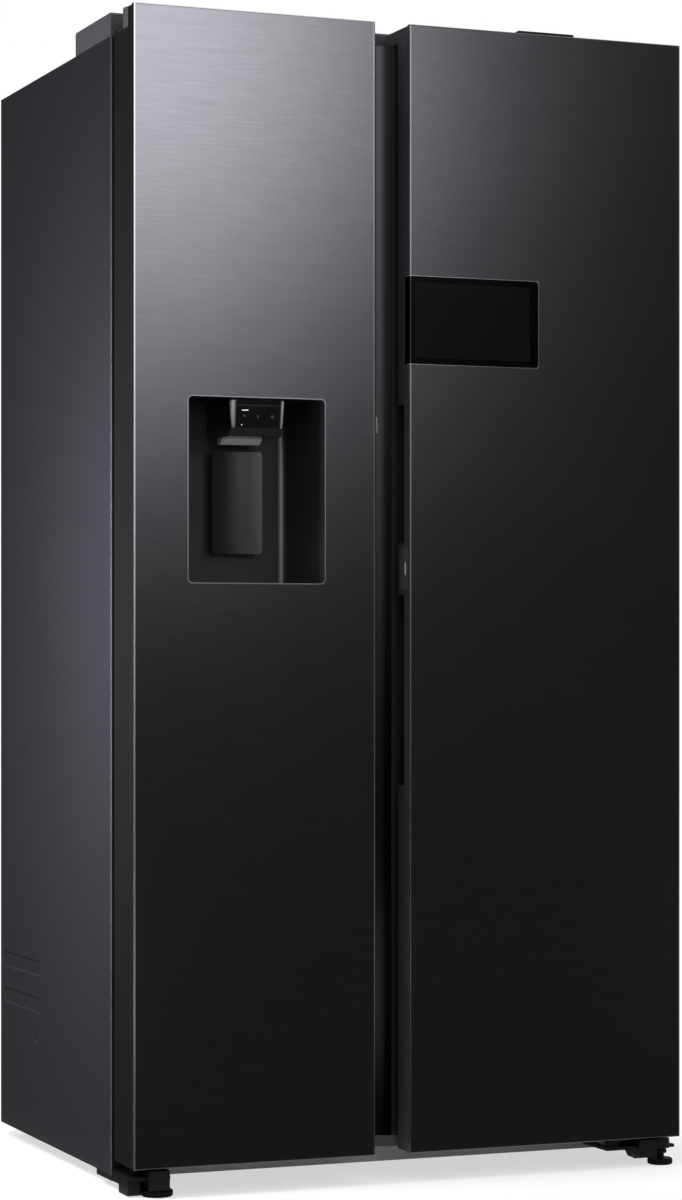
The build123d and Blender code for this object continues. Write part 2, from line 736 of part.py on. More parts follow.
# Drain pan with drafted walls
PAN_MIDDLE = (-70, 255)
PAN_SIZE = 150
PAN_TALL = 34
PAN_DRAFT = -6
PAN_WALL = 2
PAN_CORNER = 16
with BuildPart() as drain_pan:
    for inset, mode in ((0, Mode.ADD), (PAN_WALL, Mode.SUBTRACT)):
        with BuildSketch(Plane.XY.offset(FLOOR + inset)):
            with Locations(PAN_MIDDLE):
                RectangleRounded(PAN_SIZE - 2 * inset, PAN_SIZE - 2 * inset, PAN_CORNER - inset)
        extrude(amount=PAN_TALL - inset, taper=PAN_DRAFT, mode=mode)
write_piece(drain_pan, "drain_pan")

# Rear cover with louvre slots, a hole for the water inlet and a notch for the cord gland
COVER_Y = (BACK_PANEL_INNER, BACK - SHEET)
COVER_GAP = 2
LOUVRE_ROWS = [70 + row * 30 for row in range(7)]
LOUVRE_COLUMNS = [-290 + column * 145 for column in range(5)]
LOUVRE_WIDE = 110
LOUVRE_TALL = 9
INLET = (400, 130)
INLET_R = 14
GLAND = (-400, 90)
GLAND_R = 11
with BuildPart() as machine_cover:
    block((-inner + COVER_GAP, inner - COVER_GAP), COVER_Y, (FLOOR, MACHINE_TOP - COVER_GAP))
    for z in LOUVRE_ROWS:
        for x in LOUVRE_COLUMNS:
            with BuildSketch(Plane(origin=(x, COVER_Y[0], z), x_dir=(1, 0, 0), z_dir=(0, 1, 0))):
                SlotOverall(LOUVRE_WIDE, LOUVRE_TALL)
            extrude(amount=PANEL_THICK, mode=Mode.SUBTRACT)
    spindle(INLET[0], COVER_Y, INLET[1], INLET_R + 3, Mode.SUBTRACT)
    spindle(GLAND[0], COVER_Y, GLAND[1], GLAND_R, Mode.SUBTRACT)
write_piece(machine_cover, "machine_cover")

# Water inlet valve: body on the base, its quarter-inch tube socket out through the cover
TUBE_R = 3.2
SOCKET_DEEP = 18
VALVE_HALF = 22
VALVE_Y = (300, 344)
VALVE_TOP = INLET[1] + 26
SOLENOID_Y = 318
SOLENOID_R = 15
SOLENOID_TOP = INLET[1] + 60
with BuildPart() as water_valve:
    block((INLET[0] - VALVE_HALF, INLET[0] + VALVE_HALF), VALVE_Y, (FLOOR, VALVE_TOP))
    spindle(INLET[0], (VALVE_Y[1], BACK - SHEET), INLET[1], INLET_R)
    spindle(INLET[0], (BACK - SHEET - SOCKET_DEEP, BACK - SHEET), INLET[1], TUBE_R, Mode.SUBTRACT)
    post(INLET[0], SOLENOID_Y, (VALVE_TOP, SOLENOID_TOP), SOLENOID_R)
write_piece(water_valve, "water_valve")

# Bare gland where the mains lead would enter
GLAND_COLLAR = (342, 346)
GLAND_COLLAR_R = 15
CORD_R = 4.5
with BuildPart() as cord_gland:
    spindle(GLAND[0], (GLAND_COLLAR[1], BACK - SHEET), GLAND[1], GLAND_R)
    spindle(GLAND[0], GLAND_COLLAR, GLAND[1], GLAND_COLLAR_R)
    spindle(GLAND[0], (GLAND_COLLAR[0], BACK - SHEET), GLAND[1], CORD_R, Mode.SUBTRACT)
write_piece(cord_gland, "cord_gland")

# Front top cover over the hinge plates and the wiring
COVER_FRONT = -244
COVER_BACK = -63
COVER_WALL = 2.5
COVER_EDGE = 3
COVER_SIDE_GAP = 1
ARM_GAP = 2
with BuildPart() as top_cover:
    with BuildSketch(Plane(origin=(-SIDE + COVER_SIDE_GAP, 0, 0), x_dir=(0, 1, 0), z_dir=(1, 0, 0))):
        with BuildLine():
            Polyline(
                (COVER_FRONT, CASE_TOP),
                (COVER_FRONT, HEIGHT - COVER_EDGE),
                (COVER_FRONT + COVER_EDGE, HEIGHT),
                (COVER_BACK - COVER_EDGE, HEIGHT),
                (COVER_BACK, HEIGHT - COVER_EDGE),
                (COVER_BACK, CASE_TOP),
                close=True,
            )
        make_face()
    extrude(amount=WIDTH - 2 * COVER_SIDE_GAP)
    offset(amount=-COVER_WALL, openings=top_cover.faces().sort_by(Axis.Z)[0])
    for side in (-1, 1):
        block(
            (side * (PIN_X - ARM_HALF - ARM_GAP), side * (PIN_X + ARM_HALF + ARM_GAP)),
            (COVER_FRONT, COVER_FRONT + COVER_WALL + 1),
            (CASE_TOP, ARM_HIGH + ARM_GAP),
            Mode.SUBTRACT,
        )
write_piece(top_cover, "top_cover")


HINGE_PLATE_X = (PIN_X - 44, PIN_X + 14)
HINGE_PLATE_Y = (-236, -140)
KNUCKLE_ROUND = 3


def upper_hinge(side):
    """A plate with an arm over the door that ends in a knuckle and a pin pointing down."""
    with BuildPart() as hinge:
        x = side * PIN_X
        plate_x = (side * HINGE_PLATE_X[0], side * HINGE_PLATE_X[1])
        block(plate_x, HINGE_PLATE_Y, (CASE_TOP, ARM_HIGH))
        block((x - ARM_HALF, x + ARM_HALF), (PIN_Y, HINGE_PLATE_Y[0]), (ARM_LOW, ARM_HIGH))
        post(x, PIN_Y, (ARM_LOW, KNUCKLE_TOP), KNUCKLE_R)
        fillet(hinge.edges().filter_by(GeomType.CIRCLE).sort_by(Axis.Z)[-1], radius=KNUCKLE_ROUND)
        post(x, PIN_Y, (ARM_LOW - PIN_LENGTH, ARM_LOW), PIN_R)
    return hinge


upper_hinge_left = upper_hinge(FREEZER_SIDE)
write_piece(upper_hinge_left, "upper_hinge_left")
upper_hinge_right = upper_hinge(FRIDGE_SIDE)
write_piece(upper_hinge_right, "upper_hinge_right")

# Lower hinge brackets: plate, upright, pin and roller fork, with a block beside or over the foot
BRACKET_Z = (26, 31)
BRACKET_FRONT = -340
UPRIGHT = 3
UPRIGHT_GAP = 1
COLLAR_R = PIN_R + 5
COLLAR_TOP = DOOR_BOTTOM - 0.3
FORK_REACH = 24
FORK_FOOT = 14
FORK_Z = (4, 12)
BLOCK_HIGH = 41
LEFT_BLOCK_X = (-430, -397)
LEFT_BLOCK_Y = (-347, -309)
LEFT_BLOCK_LOW = 18
SKIRT_Y = (-350, -347)
SKIRT_LOW = 11.5
WEB_X = (-455, -452)
WEB_Y = (-290, CASE_FRONT)
WEB_LOW = 14
HOUSING_X = (-455.5, -434.5)
HOUSING_Y = (-330, -283)
HOUSING_LOW = 2
HOUSING_ROUND = 5
WELL_SPARE = 2
RIGHT_BLOCK_X = (389.5, 421)
RIGHT_BLOCK_Y = (-347, -310)
RIGHT_BLOCK_LOW = 12
RIGHT_BLOCK_ROUND = 4
BOSS_R = 15
STOP_XS = (330, 364, 352, 341)
STOP_Y = (-336, -300)


def lower_hinge(side, plate_x, upright_x, roller):
    """A bracket under one door with its pin and its roller fork."""
    block(plate_x, (BRACKET_FRONT, CASE_FRONT), BRACKET_Z)
    block(upright_x, (CASE_FRONT - UPRIGHT, CASE_FRONT), (BRACKET_Z[0], DOOR_BOTTOM - UPRIGHT_GAP))
    post(side * PIN_X, PIN_Y, (BRACKET_Z[0], COLLAR_TOP), COLLAR_R)
    post(side * PIN_X, PIN_Y, (COLLAR_TOP, DOOR_BOTTOM + PIN_LENGTH), PIN_R)
    x, y = roller
    for wall in (-1, 1):
        start = Plane(origin=(x + wall * FORK_HALF, y, 0), x_dir=(0, 1, 0), z_dir=(1, 0, 0))
        with BuildSketch(start) as cheek:
            with BuildLine():
                Polyline(
                    (-FORK_REACH, BRACKET_Z[0]),
                    (-FORK_REACH, FORK_Z[1]),
                    (-FORK_FOOT, FORK_Z[0]),
                    (FORK_FOOT, FORK_Z[0]),
                    (FORK_REACH, FORK_Z[1]),
                    (FORK_REACH, BRACKET_Z[0]),
                    close=True,
                )
            make_face()
        extrude(cheek.sketch, amount=wall * FORK_WALL)
    half = FORK_HALF + FORK_WALL
    rod((x - half, x + half), y, FRONT_ROLLER_Z, AXLE_R)


with BuildPart() as lower_hinge_left:
    block(HOUSING_X, HOUSING_Y, (HOUSING_LOW, BRACKET_Z[1]))
    front_face = lower_hinge_left.faces().sort_by(Axis.Y)[0]
    fillet(front_face.edges().sort_by(Axis.Z)[:-1], radius=HOUSING_ROUND)
    well_x = (LEFT_ROLLER[0] - FORK_HALF, LEFT_ROLLER[0] + FORK_HALF)
    well = ROLLER_R + WELL_SPARE
    well_y = (LEFT_ROLLER[1] - well, LEFT_ROLLER[1] + well)
    block(well_x, well_y, (HOUSING_LOW, BRACKET_Z[0]), Mode.SUBTRACT)
    lower_hinge(FREEZER_SIDE, (-455, -393), (-455, -432), LEFT_ROLLER)
    block(LEFT_BLOCK_X, LEFT_BLOCK_Y, (LEFT_BLOCK_LOW, BLOCK_HIGH))
    block(LEFT_BLOCK_X, SKIRT_Y, (SKIRT_LOW, BLOCK_HIGH))
    block(WEB_X, WEB_Y, (WEB_LOW, BRACKET_Z[1]))
    post(*LEFT_FOOT, (0, BLOCK_HIGH), STEM_R + RUN_FIT, Mode.SUBTRACT)
write_piece(lower_hinge_left, "lower_hinge_left")

with BuildPart() as lower_hinge_right:
    block(RIGHT_BLOCK_X, RIGHT_BLOCK_Y, (RIGHT_BLOCK_LOW, BLOCK_HIGH))
    low_edges = lower_hinge_right.faces().sort_by(Axis.Z)[0].edges()
    fillet(low_edges, radius=RIGHT_BLOCK_ROUND)
    lower_hinge(FRIDGE_SIDE, (335, 455), (432, 455), RIGHT_ROLLER)
    post(*RIGHT_FOOT, (BRACKET_Z[0], BLOCK_HIGH), BOSS_R)
    post(*RIGHT_FOOT, (0, BLOCK_HIGH), STEM_R + RUN_FIT, Mode.SUBTRACT)
    with BuildSketch(Plane(origin=(0, STOP_Y[0], 0), x_dir=(1, 0, 0), z_dir=(0, -1, 0))):
        with BuildLine():
            Polyline(
                (STOP_XS[0], DOOR_BOTTOM - UPRIGHT_GAP),
                (STOP_XS[1], DOOR_BOTTOM - UPRIGHT_GAP),
                (STOP_XS[2], BRACKET_Z[0]),
                (STOP_XS[3], BRACKET_Z[0]),
                close=True,
            )
        make_face()
    extrude(amount=STOP_Y[0] - STOP_Y[1])
write_piece(lower_hinge_right, "lower_hinge_right")

# Screw feet: a fluted disc with a rounded rim, a nut and a stem
FEET = (
    ("left_foot", LEFT_FOOT, LEFT_FOOT_R, 18, (FOOT_HIGH, 17)),
    ("right_foot", RIGHT_FOOT, RIGHT_FOOT_R, 10.5, (18, 23)),
)
for name, place, radius, nut_r, nut_z in FEET:
    with BuildPart() as screw_foot:
        post(*place, (0, FOOT_HIGH), radius)
        fillet(screw_foot.edges().filter_by(GeomType.CIRCLE), radius=FOOT_ROUND)
        with Locations((*place, FOOT_HIGH / 2)):
            with PolarLocations(radius, FOOT_FLUTES):
                Cylinder(FLUTE_R, FOOT_HIGH, mode=Mode.SUBTRACT)
        post(*place, nut_z, nut_r)
        post(*place, (FOOT_HIGH, BLOCK_HIGH - 1), STEM_R)
    write_piece(screw_foot, name)

ROLLER_EDGE = 1.5
ROLLERS = (
    ("front_roller_left", *LEFT_ROLLER, FRONT_ROLLER_Z),
    ("front_roller_right", *RIGHT_ROLLER, FRONT_ROLLER_Z),
    ("rear_roller_left", -REAR_ROLLER_X, REAR_ROLLER_Y, ROLLER_R),
    ("rear_roller_right", REAR_ROLLER_X, REAR_ROLLER_Y, ROLLER_R),
)
for name, x, y, z in ROLLERS:
    with BuildPart() as roller:
        rod((x - ROLLER_WIDE / 2, x + ROLLER_WIDE / 2), y, z, ROLLER_R)
        chamfer(roller.edges().filter_by(GeomType.CIRCLE), length=ROLLER_EDGE)
        rod((x - ROLLER_WIDE / 2, x + ROLLER_WIDE / 2), y, z, AXLE_R + RUN_FIT, Mode.SUBTRACT)
    write_piece(roller, name)


def door_skin(side, panel, opening, corner):
    """The steel front sheet of a door: a shallow tray turned back all round, with one opening."""
    with BuildPart() as tray:
        x = (door_x(side, 0), door_x(side, panel))
        block(x, (FRONT, FRONT + SKIN_RETURN), (DOOR_BOTTOM, DOOR_TOP))
        fillet(tray.faces().sort_by(Axis.Y)[0].edges(), radius=SKIN_EDGE)
        hollow = (door_x(side, SKIN), door_x(side, panel - SKIN))
        block(
            hollow,
            (FRONT + SKIN, FRONT + SKIN_RETURN),
            (DOOR_BOTTOM + SKIN, DOOR_TOP - SKIN),
            Mode.SUBTRACT,
        )
        left, right, low, high = opening
        with BuildSketch(Plane(origin=(0, FRONT, 0), x_dir=(1, 0, 0), z_dir=(0, -1, 0))):
            with Locations(((left + right) / 2, (low + high) / 2)):
                RectangleRounded(right - left, high - low, corner)
        extrude(amount=-SKIN_RETURN, mode=Mode.SUBTRACT)
    return tray


FLANGE_BOW = (4, 2)


def body_profile(side, panel, flange):
    """Plan outline of a door body: lip, rounded grip pocket, curved flange and a shadow groove."""
    front = FRONT + SKIN
    groove = FRONT + SKIN_RETURN
    lip = panel - SKIN
    pocket_mid = (LIP_BACK + POCKET_BACK) / 2
    pocket_r = (POCKET_BACK - LIP_BACK) / 2
    with BuildLine() as outline:
        Polyline(
            (door_x(side, flange), FLANGE_EDGE),
            (door_x(side, flange), DOOR_BACK),
            (door_x(side, SKIN), DOOR_BACK),
            (door_x(side, SKIN), groove + GROOVE),
            (door_x(side, SKIN + GROOVE), groove + GROOVE),
            (door_x(side, SKIN + GROOVE), groove),
            (door_x(side, SKIN), groove),
            (door_x(side, SKIN), front),
            (door_x(side, lip), front),
            (door_x(side, lip), LIP_BACK),
            (door_x(side, lip - POCKET_DEPTH + pocket_r), LIP_BACK),
        )
        ThreePointArc(
            (door_x(side, lip - POCKET_DEPTH + pocket_r), LIP_BACK),
            (door_x(side, lip - POCKET_DEPTH), pocket_mid),
            (door_x(side, lip - POCKET_DEPTH + pocket_r), POCKET_BACK),
        )
        ThreePointArc(
            (door_x(side, lip - POCKET_DEPTH + pocket_r), POCKET_BACK),
            (door_x(side, lip + FLANGE_BOW[0]), POCKET_BACK + FLANGE_BOW[1]),
            (door_x(side, flange), FLANGE_EDGE),
        )
    make_face(outline.edges())


GRIP_INSIDE = POCKET_DEPTH - 6
SOCKET_SPARE = 2


def door_body(side, panel, flange, grips, pocket):
    """The foam-filled black body behind the front sheet, with its grip, hinge sockets and a pocket."""
    with BuildPart() as body:
        with BuildSketch(Plane.XY.offset(CAP_BOTTOM)):
            body_profile(side, panel, flange)
        extrude(amount=CAP_TOP - CAP_BOTTOM)
        reach = (door_x(side, panel - GRIP_INSIDE), door_x(side, panel + SKIN))
        for grip in grips:
            block(reach, (GRIP_LIP_BACK, LIP_BACK), grip, Mode.SUBTRACT)
        block(
            (door_x(side, 0), door_x(side, NOTCH_H)),
            (NOTCH_FRONT, DOOR_BACK),
            (NOTCH_FLOOR, CAP_TOP),
            Mode.SUBTRACT,
        )
        socket = PIN_R + PIN_FIT
        deep = PIN_LENGTH + SOCKET_SPARE
        post(side * PIN_X, PIN_Y, (NOTCH_FLOOR - deep, NOTCH_FLOOR), socket, Mode.SUBTRACT)
        post(side * PIN_X, PIN_Y, (CAP_BOTTOM, DOOR_BOTTOM + deep), socket, Mode.SUBTRACT)
        block(*pocket, Mode.SUBTRACT)
    return body


STRIP_FRONT = -342
STRIP_DEEP = 50
STRIP_RISE = 4
STRIP_SLOPE = 5


def door_caps(side, panel, flange, strip):
    """Moulded end caps: a notched top cap, and a bottom cap that follows the whole door outline."""
    with BuildPart() as caps:
        x = (door_x(side, SKIN), door_x(side, panel - SKIN))
        block(x, (FRONT + SKIN, DOOR_BACK), (CAP_TOP, DOOR_TOP - SKIN))
        block(
            (door_x(side, 0), door_x(side, NOTCH_H)),
            (NOTCH_FRONT, DOOR_BACK),
            (CAP_TOP, DOOR_TOP),
            Mode.SUBTRACT,
        )
        with BuildSketch(Plane.XY.offset(DOOR_BOTTOM + SKIN)):
            body_profile(side, panel, flange)
        extrude(amount=CAP_BOTTOM - DOOR_BOTTOM - SKIN)
        post(side * PIN_X, PIN_Y, (DOOR_BOTTOM, CAP_BOTTOM), PIN_R + PIN_FIT, Mode.SUBTRACT)
        if strip:
            with BuildSketch(Plane(origin=(0, STRIP_FRONT, 0), x_dir=(1, 0, 0), z_dir=(0, -1, 0))):
                with BuildLine():
                    Polyline(
                        (strip[0], DOOR_TOP - SKIN),
                        (strip[0] + STRIP_SLOPE, DOOR_TOP + STRIP_RISE),
                        (strip[1] - STRIP_SLOPE, DOOR_TOP + STRIP_RISE),
                        (strip[1], DOOR_TOP - SKIN),
                        close=True,
                    )
                make_face()
            extrude(amount=-STRIP_DEEP)
    return caps


def ring(x, z, wide, y):
    """A flat frame facing the cabinet, between two places along Y."""
    block(x, y, z)
    low, high = min(x) + wide, max(x) - wide
    block((low, high), y, (z[0] + wide, z[1] - wide), Mode.SUBTRACT)


BULB_INSET = 3


def door_gasket(side, flange):
    """The magnetic door seal: a wide foot with a narrower bulb on it."""
    end = flange - GASKET_END_INSET
    with BuildPart() as seal:
        ring(
            (door_x(side, GASKET_H), door_x(side, end)),
            (GASKET_LOW, GASKET_HIGH),
            GASKET_WIDE,
            (LINER_BACK, LINER_BACK + GASKET_FOOT),
        )
        ring(
            (door_x(side, GASKET_H + BULB_INSET), door_x(side, end - BULB_INSET)),
            (GASKET_LOW + BULB_INSET, GASKET_HIGH - BULB_INSET),
            GASKET_WIDE - 2 * BULB_INSET,
            (LINER_BACK + GASKET_FOOT, FRAME_FRONT),
        )
    return seal


LINER_H_INSET = 8
LINER_END_INSET = 4
RIDGE_LEAN = 3
RIDGE_END_GAP = 14
BIN_LEDGE = 8


def door_liner(side, panel, flange, bin_heights):
    """The inner door panel: a sheet with two tall ridges that carry the bin ledges."""
    with BuildPart() as inner_panel:
        block(
            (door_x(side, LINER_H_INSET), door_x(side, flange - LINER_END_INSET)),
            (DOOR_BACK, LINER_BACK),
            (DOOR_LINER_LOW, DOOR_LINER_HIGH),
        )
        far = panel - RIDGE_END_INSET
        for outer, inner_edge in ((RIDGE_H, RIDGE_H + RIDGE_WIDE), (far, far - RIDGE_WIDE)):
            lean = RIDGE_LEAN if inner_edge > outer else -RIDGE_LEAN
            with BuildSketch(Plane.XY.offset(ROOM_FLOOR + RIDGE_END_GAP)):
                with BuildLine():
                    Polyline(
                        (door_x(side, outer), LINER_BACK),
                        (door_x(side, outer + lean), RIDGE_BACK),
                        (door_x(side, inner_edge - lean), RIDGE_BACK),
                        (door_x(side, inner_edge), LINER_BACK),
                        close=True,
                    )
                make_face()
            extrude(amount=ROOM_CEILING - ROOM_FLOOR - 2 * RIDGE_END_GAP)
            for z in bin_heights:
                ledge = (door_x(side, inner_edge - 2 * lean), door_x(side, inner_edge + 3 * lean))
                block(ledge, (LINER_BACK, RIDGE_BACK), (z - BIN_LEDGE, z))
    return inner_panel


BIN_GAP = 1


def door_bins(side, panel, heights, tall, back):
    """Open-topped door bins that sit between the ridges, rounded on the room side."""
    h = (RIDGE_H + RIDGE_WIDE + BIN_GAP, panel - RIDGE_END_INSET - RIDGE_WIDE - BIN_GAP)
    middle = (door_x(side, sum(h) / 2), (LINER_BACK + back) / 2)
    wide = h[1] - h[0]
    deep = back - LINER_BACK
    with BuildPart() as bins:
        for low in heights:
            for inset, mode in ((0, Mode.ADD), (BIN_WALL, Mode.SUBTRACT)):
                with BuildSketch(Plane.XY.offset(low + inset)) as plan:
                    with Locations(middle):
                        Rectangle(wide - 2 * inset, deep - 2 * inset)
                    fillet(plan.vertices().group_by(Axis.Y)[-1], radius=BIN_CORNER - inset)
                extrude(amount=tall - inset, mode=mode)
    return bins


# Freezer door
FREEZER_SLIM = (130, 400)
FREEZER_DEEP = (690, 1560)
BUCKET_LOW = 1232
SLIM_TALL = 120
DEEP_TALL = 110
BUCKET_TALL = 260
TUB_X = (RECESS_LEFT - 2, RECESS_RIGHT + 2)
TUB_Y = (BEZEL_BACK, RECESS_BACK + TUB_WALL)
TUB_Z = (RECESS_LOW - 8, RECESS_HIGH + 2)
BULGE_X = (RECESS_LEFT - 12, RECESS_RIGHT + 12)
BULGE_BACK = -222
BULGE_Z = (RECESS_LOW - 18, RECESS_HIGH + 16)
BULGE_ROUND = 8
freezer_door_skin = door_skin(
    FREEZER_SIDE, FREEZER_PANEL, (RECESS_LEFT, RECESS_RIGHT, RECESS_LOW, RECESS_HIGH), RECESS_CORNER
)
write_piece(freezer_door_skin, "freezer_door_skin")
freezer_door_body = door_body(
    FREEZER_SIDE,
    FREEZER_PANEL,
    FREEZER_FLANGE,
    [(GRIP_LOW, GRIP_HIGH)],
    (TUB_X, (FRONT + SKIN, DOOR_BACK), TUB_Z),
)
write_piece(freezer_door_body, "freezer_door_body")
freezer_door_caps = door_caps(FREEZER_SIDE, FREEZER_PANEL, FREEZER_FLANGE, None)
write_piece(freezer_door_caps, "freezer_door_caps")
freezer_gasket = door_gasket(FREEZER_SIDE, FREEZER_FLANGE)
write_piece(freezer_gasket, "freezer_gasket")
bin_heights = FREEZER_SLIM + FREEZER_DEEP + (BUCKET_LOW,)
plain_liner = door_liner(FREEZER_SIDE, FREEZER_PANEL, FREEZER_FLANGE, bin_heights)
with BuildPart() as freezer_door_liner:
    block(BULGE_X, (LINER_BACK, BULGE_BACK), BULGE_Z)
    fillet(freezer_door_liner.faces().sort_by(Axis.Y)[-1].edges(), radius=BULGE_ROUND)
    add(plain_liner.part)
    block(TUB_X, (DOOR_BACK, TUB_Y[1]), TUB_Z, Mode.SUBTRACT)
write_piece(freezer_door_liner, "freezer_door_liner")
freezer_slim_bins = door_bins(FREEZER_SIDE, FREEZER_PANEL, FREEZER_SLIM, SLIM_TALL, SLIM_BACK)
write_piece(freezer_slim_bins, "freezer_slim_bins")
freezer_deep_bins = door_bins(FREEZER_SIDE, FREEZER_PANEL, FREEZER_DEEP, DEEP_TALL, DEEP_BACK)
write_piece(freezer_deep_bins, "freezer_deep_bins")
ice_bucket = door_bins(FREEZER_SIDE, FREEZER_PANEL, (BUCKET_LOW,), BUCKET_TALL, DEEP_BACK)
write_piece(ice_bucket, "ice_bucket")

# Dispenser tub: drafted side walls, rounded back corners, a tray well and lugs for the paddle shaft
LEVER_Y = -243
LEVER_Z = 1116
LUG_X = (20, 27)
LUG_HALF = 8
LUG_FRONT = 5
TRAY_HALF = 76
TRAY_Y = (-346, -298)
TRAY_TALL = 5
TRAY_CORNER = 8
CAVITY_Z = (RECESS_LOW + BEZEL, RECESS_HIGH - BEZEL)
TRAY_Z = (CAVITY_Z[0] - TRAY_TALL, CAVITY_Z[0])
TRAY_MIDDLE = (RECESS_MID, sum(TRAY_Y) / 2)
TRAY_SIZE = (2 * TRAY_HALF, TRAY_Y[1] - TRAY_Y[0])
TRAY_GAP = 0.5
with BuildPart() as dispenser_housing:
    block(TUB_X, TUB_Y, TUB_Z)
    with BuildSketch(Plane.XY.offset(CAVITY_Z[0])) as plan:
        with BuildLine():
            Polyline(
                (RECESS_LEFT + BEZEL, BEZEL_BACK),
                (RECESS_LEFT + BEZEL + RECESS_TAPER, RECESS_BACK),
                (RECESS_RIGHT - BEZEL - RECESS_TAPER, RECESS_BACK),
                (RECESS_RIGHT - BEZEL, BEZEL_BACK),
                close=True,
            )
        make_face()
        fillet(plan.vertices().group_by(Axis.Y)[-1], radius=RECESS_ROUND)
    extrude(amount=CAVITY_Z[1] - CAVITY_Z[0], mode=Mode.SUBTRACT)
    with BuildSketch(Plane.XY.offset(TRAY_Z[0])):
        with Locations(TRAY_MIDDLE):
            RectangleRounded(TRAY_SIZE[0] + TRAY_GAP, TRAY_SIZE[1] + TRAY_GAP, TRAY_CORNER)
    extrude(amount=TRAY_TALL, mode=Mode.SUBTRACT)
    for turn in (-1, 1):
        lug = sorted(DISPENSE_X + turn * x for x in LUG_X)
        block(lug, (LEVER_Y - LUG_FRONT, RECESS_BACK), (LEVER_Z - LUG_HALF, LEVER_Z + LUG_HALF))
        rod(lug, LEVER_Y, LEVER_Z, AXLE_R + RUN_FIT, Mode.SUBTRACT)
write_piece(dispenser_housing, "dispenser_housing")

with BuildPart() as dispenser_bezel:
    middle = Plane(
        origin=(RECESS_MID, FRONT, (RECESS_LOW + RECESS_HIGH) / 2), x_dir=(1, 0, 0), z_dir=(0, -1, 0)
    )
    wide = RECESS_RIGHT - RECESS_LEFT
    tall = RECESS_HIGH - RECESS_LOW
    with BuildSketch(middle):
        RectangleRounded(wide, tall, RECESS_CORNER)
        RectangleRounded(wide - 2 * BEZEL, tall - 2 * BEZEL, RECESS_CORNER - BEZEL, mode=Mode.SUBTRACT)
    extrude(amount=-(BEZEL_BACK - FRONT))
write_piece(dispenser_bezel, "dispenser_bezel")

# Control block under the top of the recess: narrower and further back at its foot, with rounded
# ends, a groove under its top lip and a chamfered lower edge
CONTROL_TOP_HALF = 44.4
CONTROL_LOW_HALF = 42.2
CONTROL_FRONT = -352
CONTROL_LOW = 1140.4
CONTROL_LEAN = 5
CONTROL_CHAMFER = 12
CONTROL_ROUND = 9
LIP_GROOVE_Z = (1186, 1187.5)
LIP_GROOVE_DEEP = 3
with BuildPart() as dispenser_panel:
    with BuildSketch(Plane(origin=(DISPENSE_X, RECESS_BACK, 0), x_dir=(1, 0, 0), z_dir=(0, -1, 0))):
        with BuildLine():
            Polyline(
                (-CONTROL_TOP_HALF, CAVITY_Z[1]),
                (-CONTROL_LOW_HALF, CONTROL_LOW),
                (CONTROL_LOW_HALF, CONTROL_LOW),
                (CONTROL_TOP_HALF, CAVITY_Z[1]),
                close=True,
            )
        make_face()
    extrude(amount=RECESS_BACK - CONTROL_FRONT)
    foot = CONTROL_FRONT + CONTROL_LEAN
    with BuildSketch(Plane(origin=(DISPENSE_X, 0, 0), x_dir=(0, 1, 0), z_dir=(1, 0, 0))):
        with BuildLine():
            Polyline(
                (CONTROL_FRONT, CAVITY_Z[1]),
                (foot, CONTROL_LOW + CONTROL_CHAMFER),
                (foot + CONTROL_CHAMFER, CONTROL_LOW),
                (CONTROL_FRONT, CONTROL_LOW),
                close=True,
            )
        make_face()
    extrude(amount=CONTROL_TOP_HALF, both=True, mode=Mode.SUBTRACT)
    ends = dispenser_panel.faces().sort_by(Axis.Y)[0].edges().sort_by(Axis.X)
    fillet([ends[0], ends[-1]], radius=CONTROL_ROUND)
    groove_x = (DISPENSE_X - CONTROL_TOP_HALF, DISPENSE_X + CONTROL_TOP_HALF)
    block(groove_x, (CONTROL_FRONT, CONTROL_FRONT + LIP_GROOVE_DEEP), LIP_GROOVE_Z, Mode.SUBTRACT)
write_piece(dispenser_panel, "dispenser_panel")

# Spout below the control block: a flat chute whose front slants back towards its mouth
SPOUT_HALF = 33
SPOUT_LOW = 1132.4
SPOUT_Y = (-282, -258)
SPOUT_SLANT = 12
SPOUT_CORNER = 3
MOUTH_HALF = 20
MOUTH_Y = (-268, -260)
with BuildPart() as dispenser_spout:
    with BuildSketch(Plane(origin=(DISPENSE_X - SPOUT_HALF, 0, 0), x_dir=(0, 1, 0), z_dir=(1, 0, 0))):
        with BuildLine():
            Polyline(
                (SPOUT_Y[0], CONTROL_LOW),
                (SPOUT_Y[0] + SPOUT_SLANT, SPOUT_LOW),
                (SPOUT_Y[1], SPOUT_LOW),
                (SPOUT_Y[1], CONTROL_LOW),
                close=True,
            )
        make_face()
    extrude(amount=2 * SPOUT_HALF)
    ends = dispenser_spout.faces().sort_by(Axis.Y)[0].edges().sort_by(Axis.X)
    fillet([ends[0], ends[-1]], radius=SPOUT_CORNER)
    mouth = (DISPENSE_X - MOUTH_HALF, DISPENSE_X + MOUTH_HALF)
    block(mouth, MOUTH_Y, (SPOUT_LOW, CONTROL_LOW), Mode.SUBTRACT)
write_piece(dispenser_spout, "dispenser_spout")

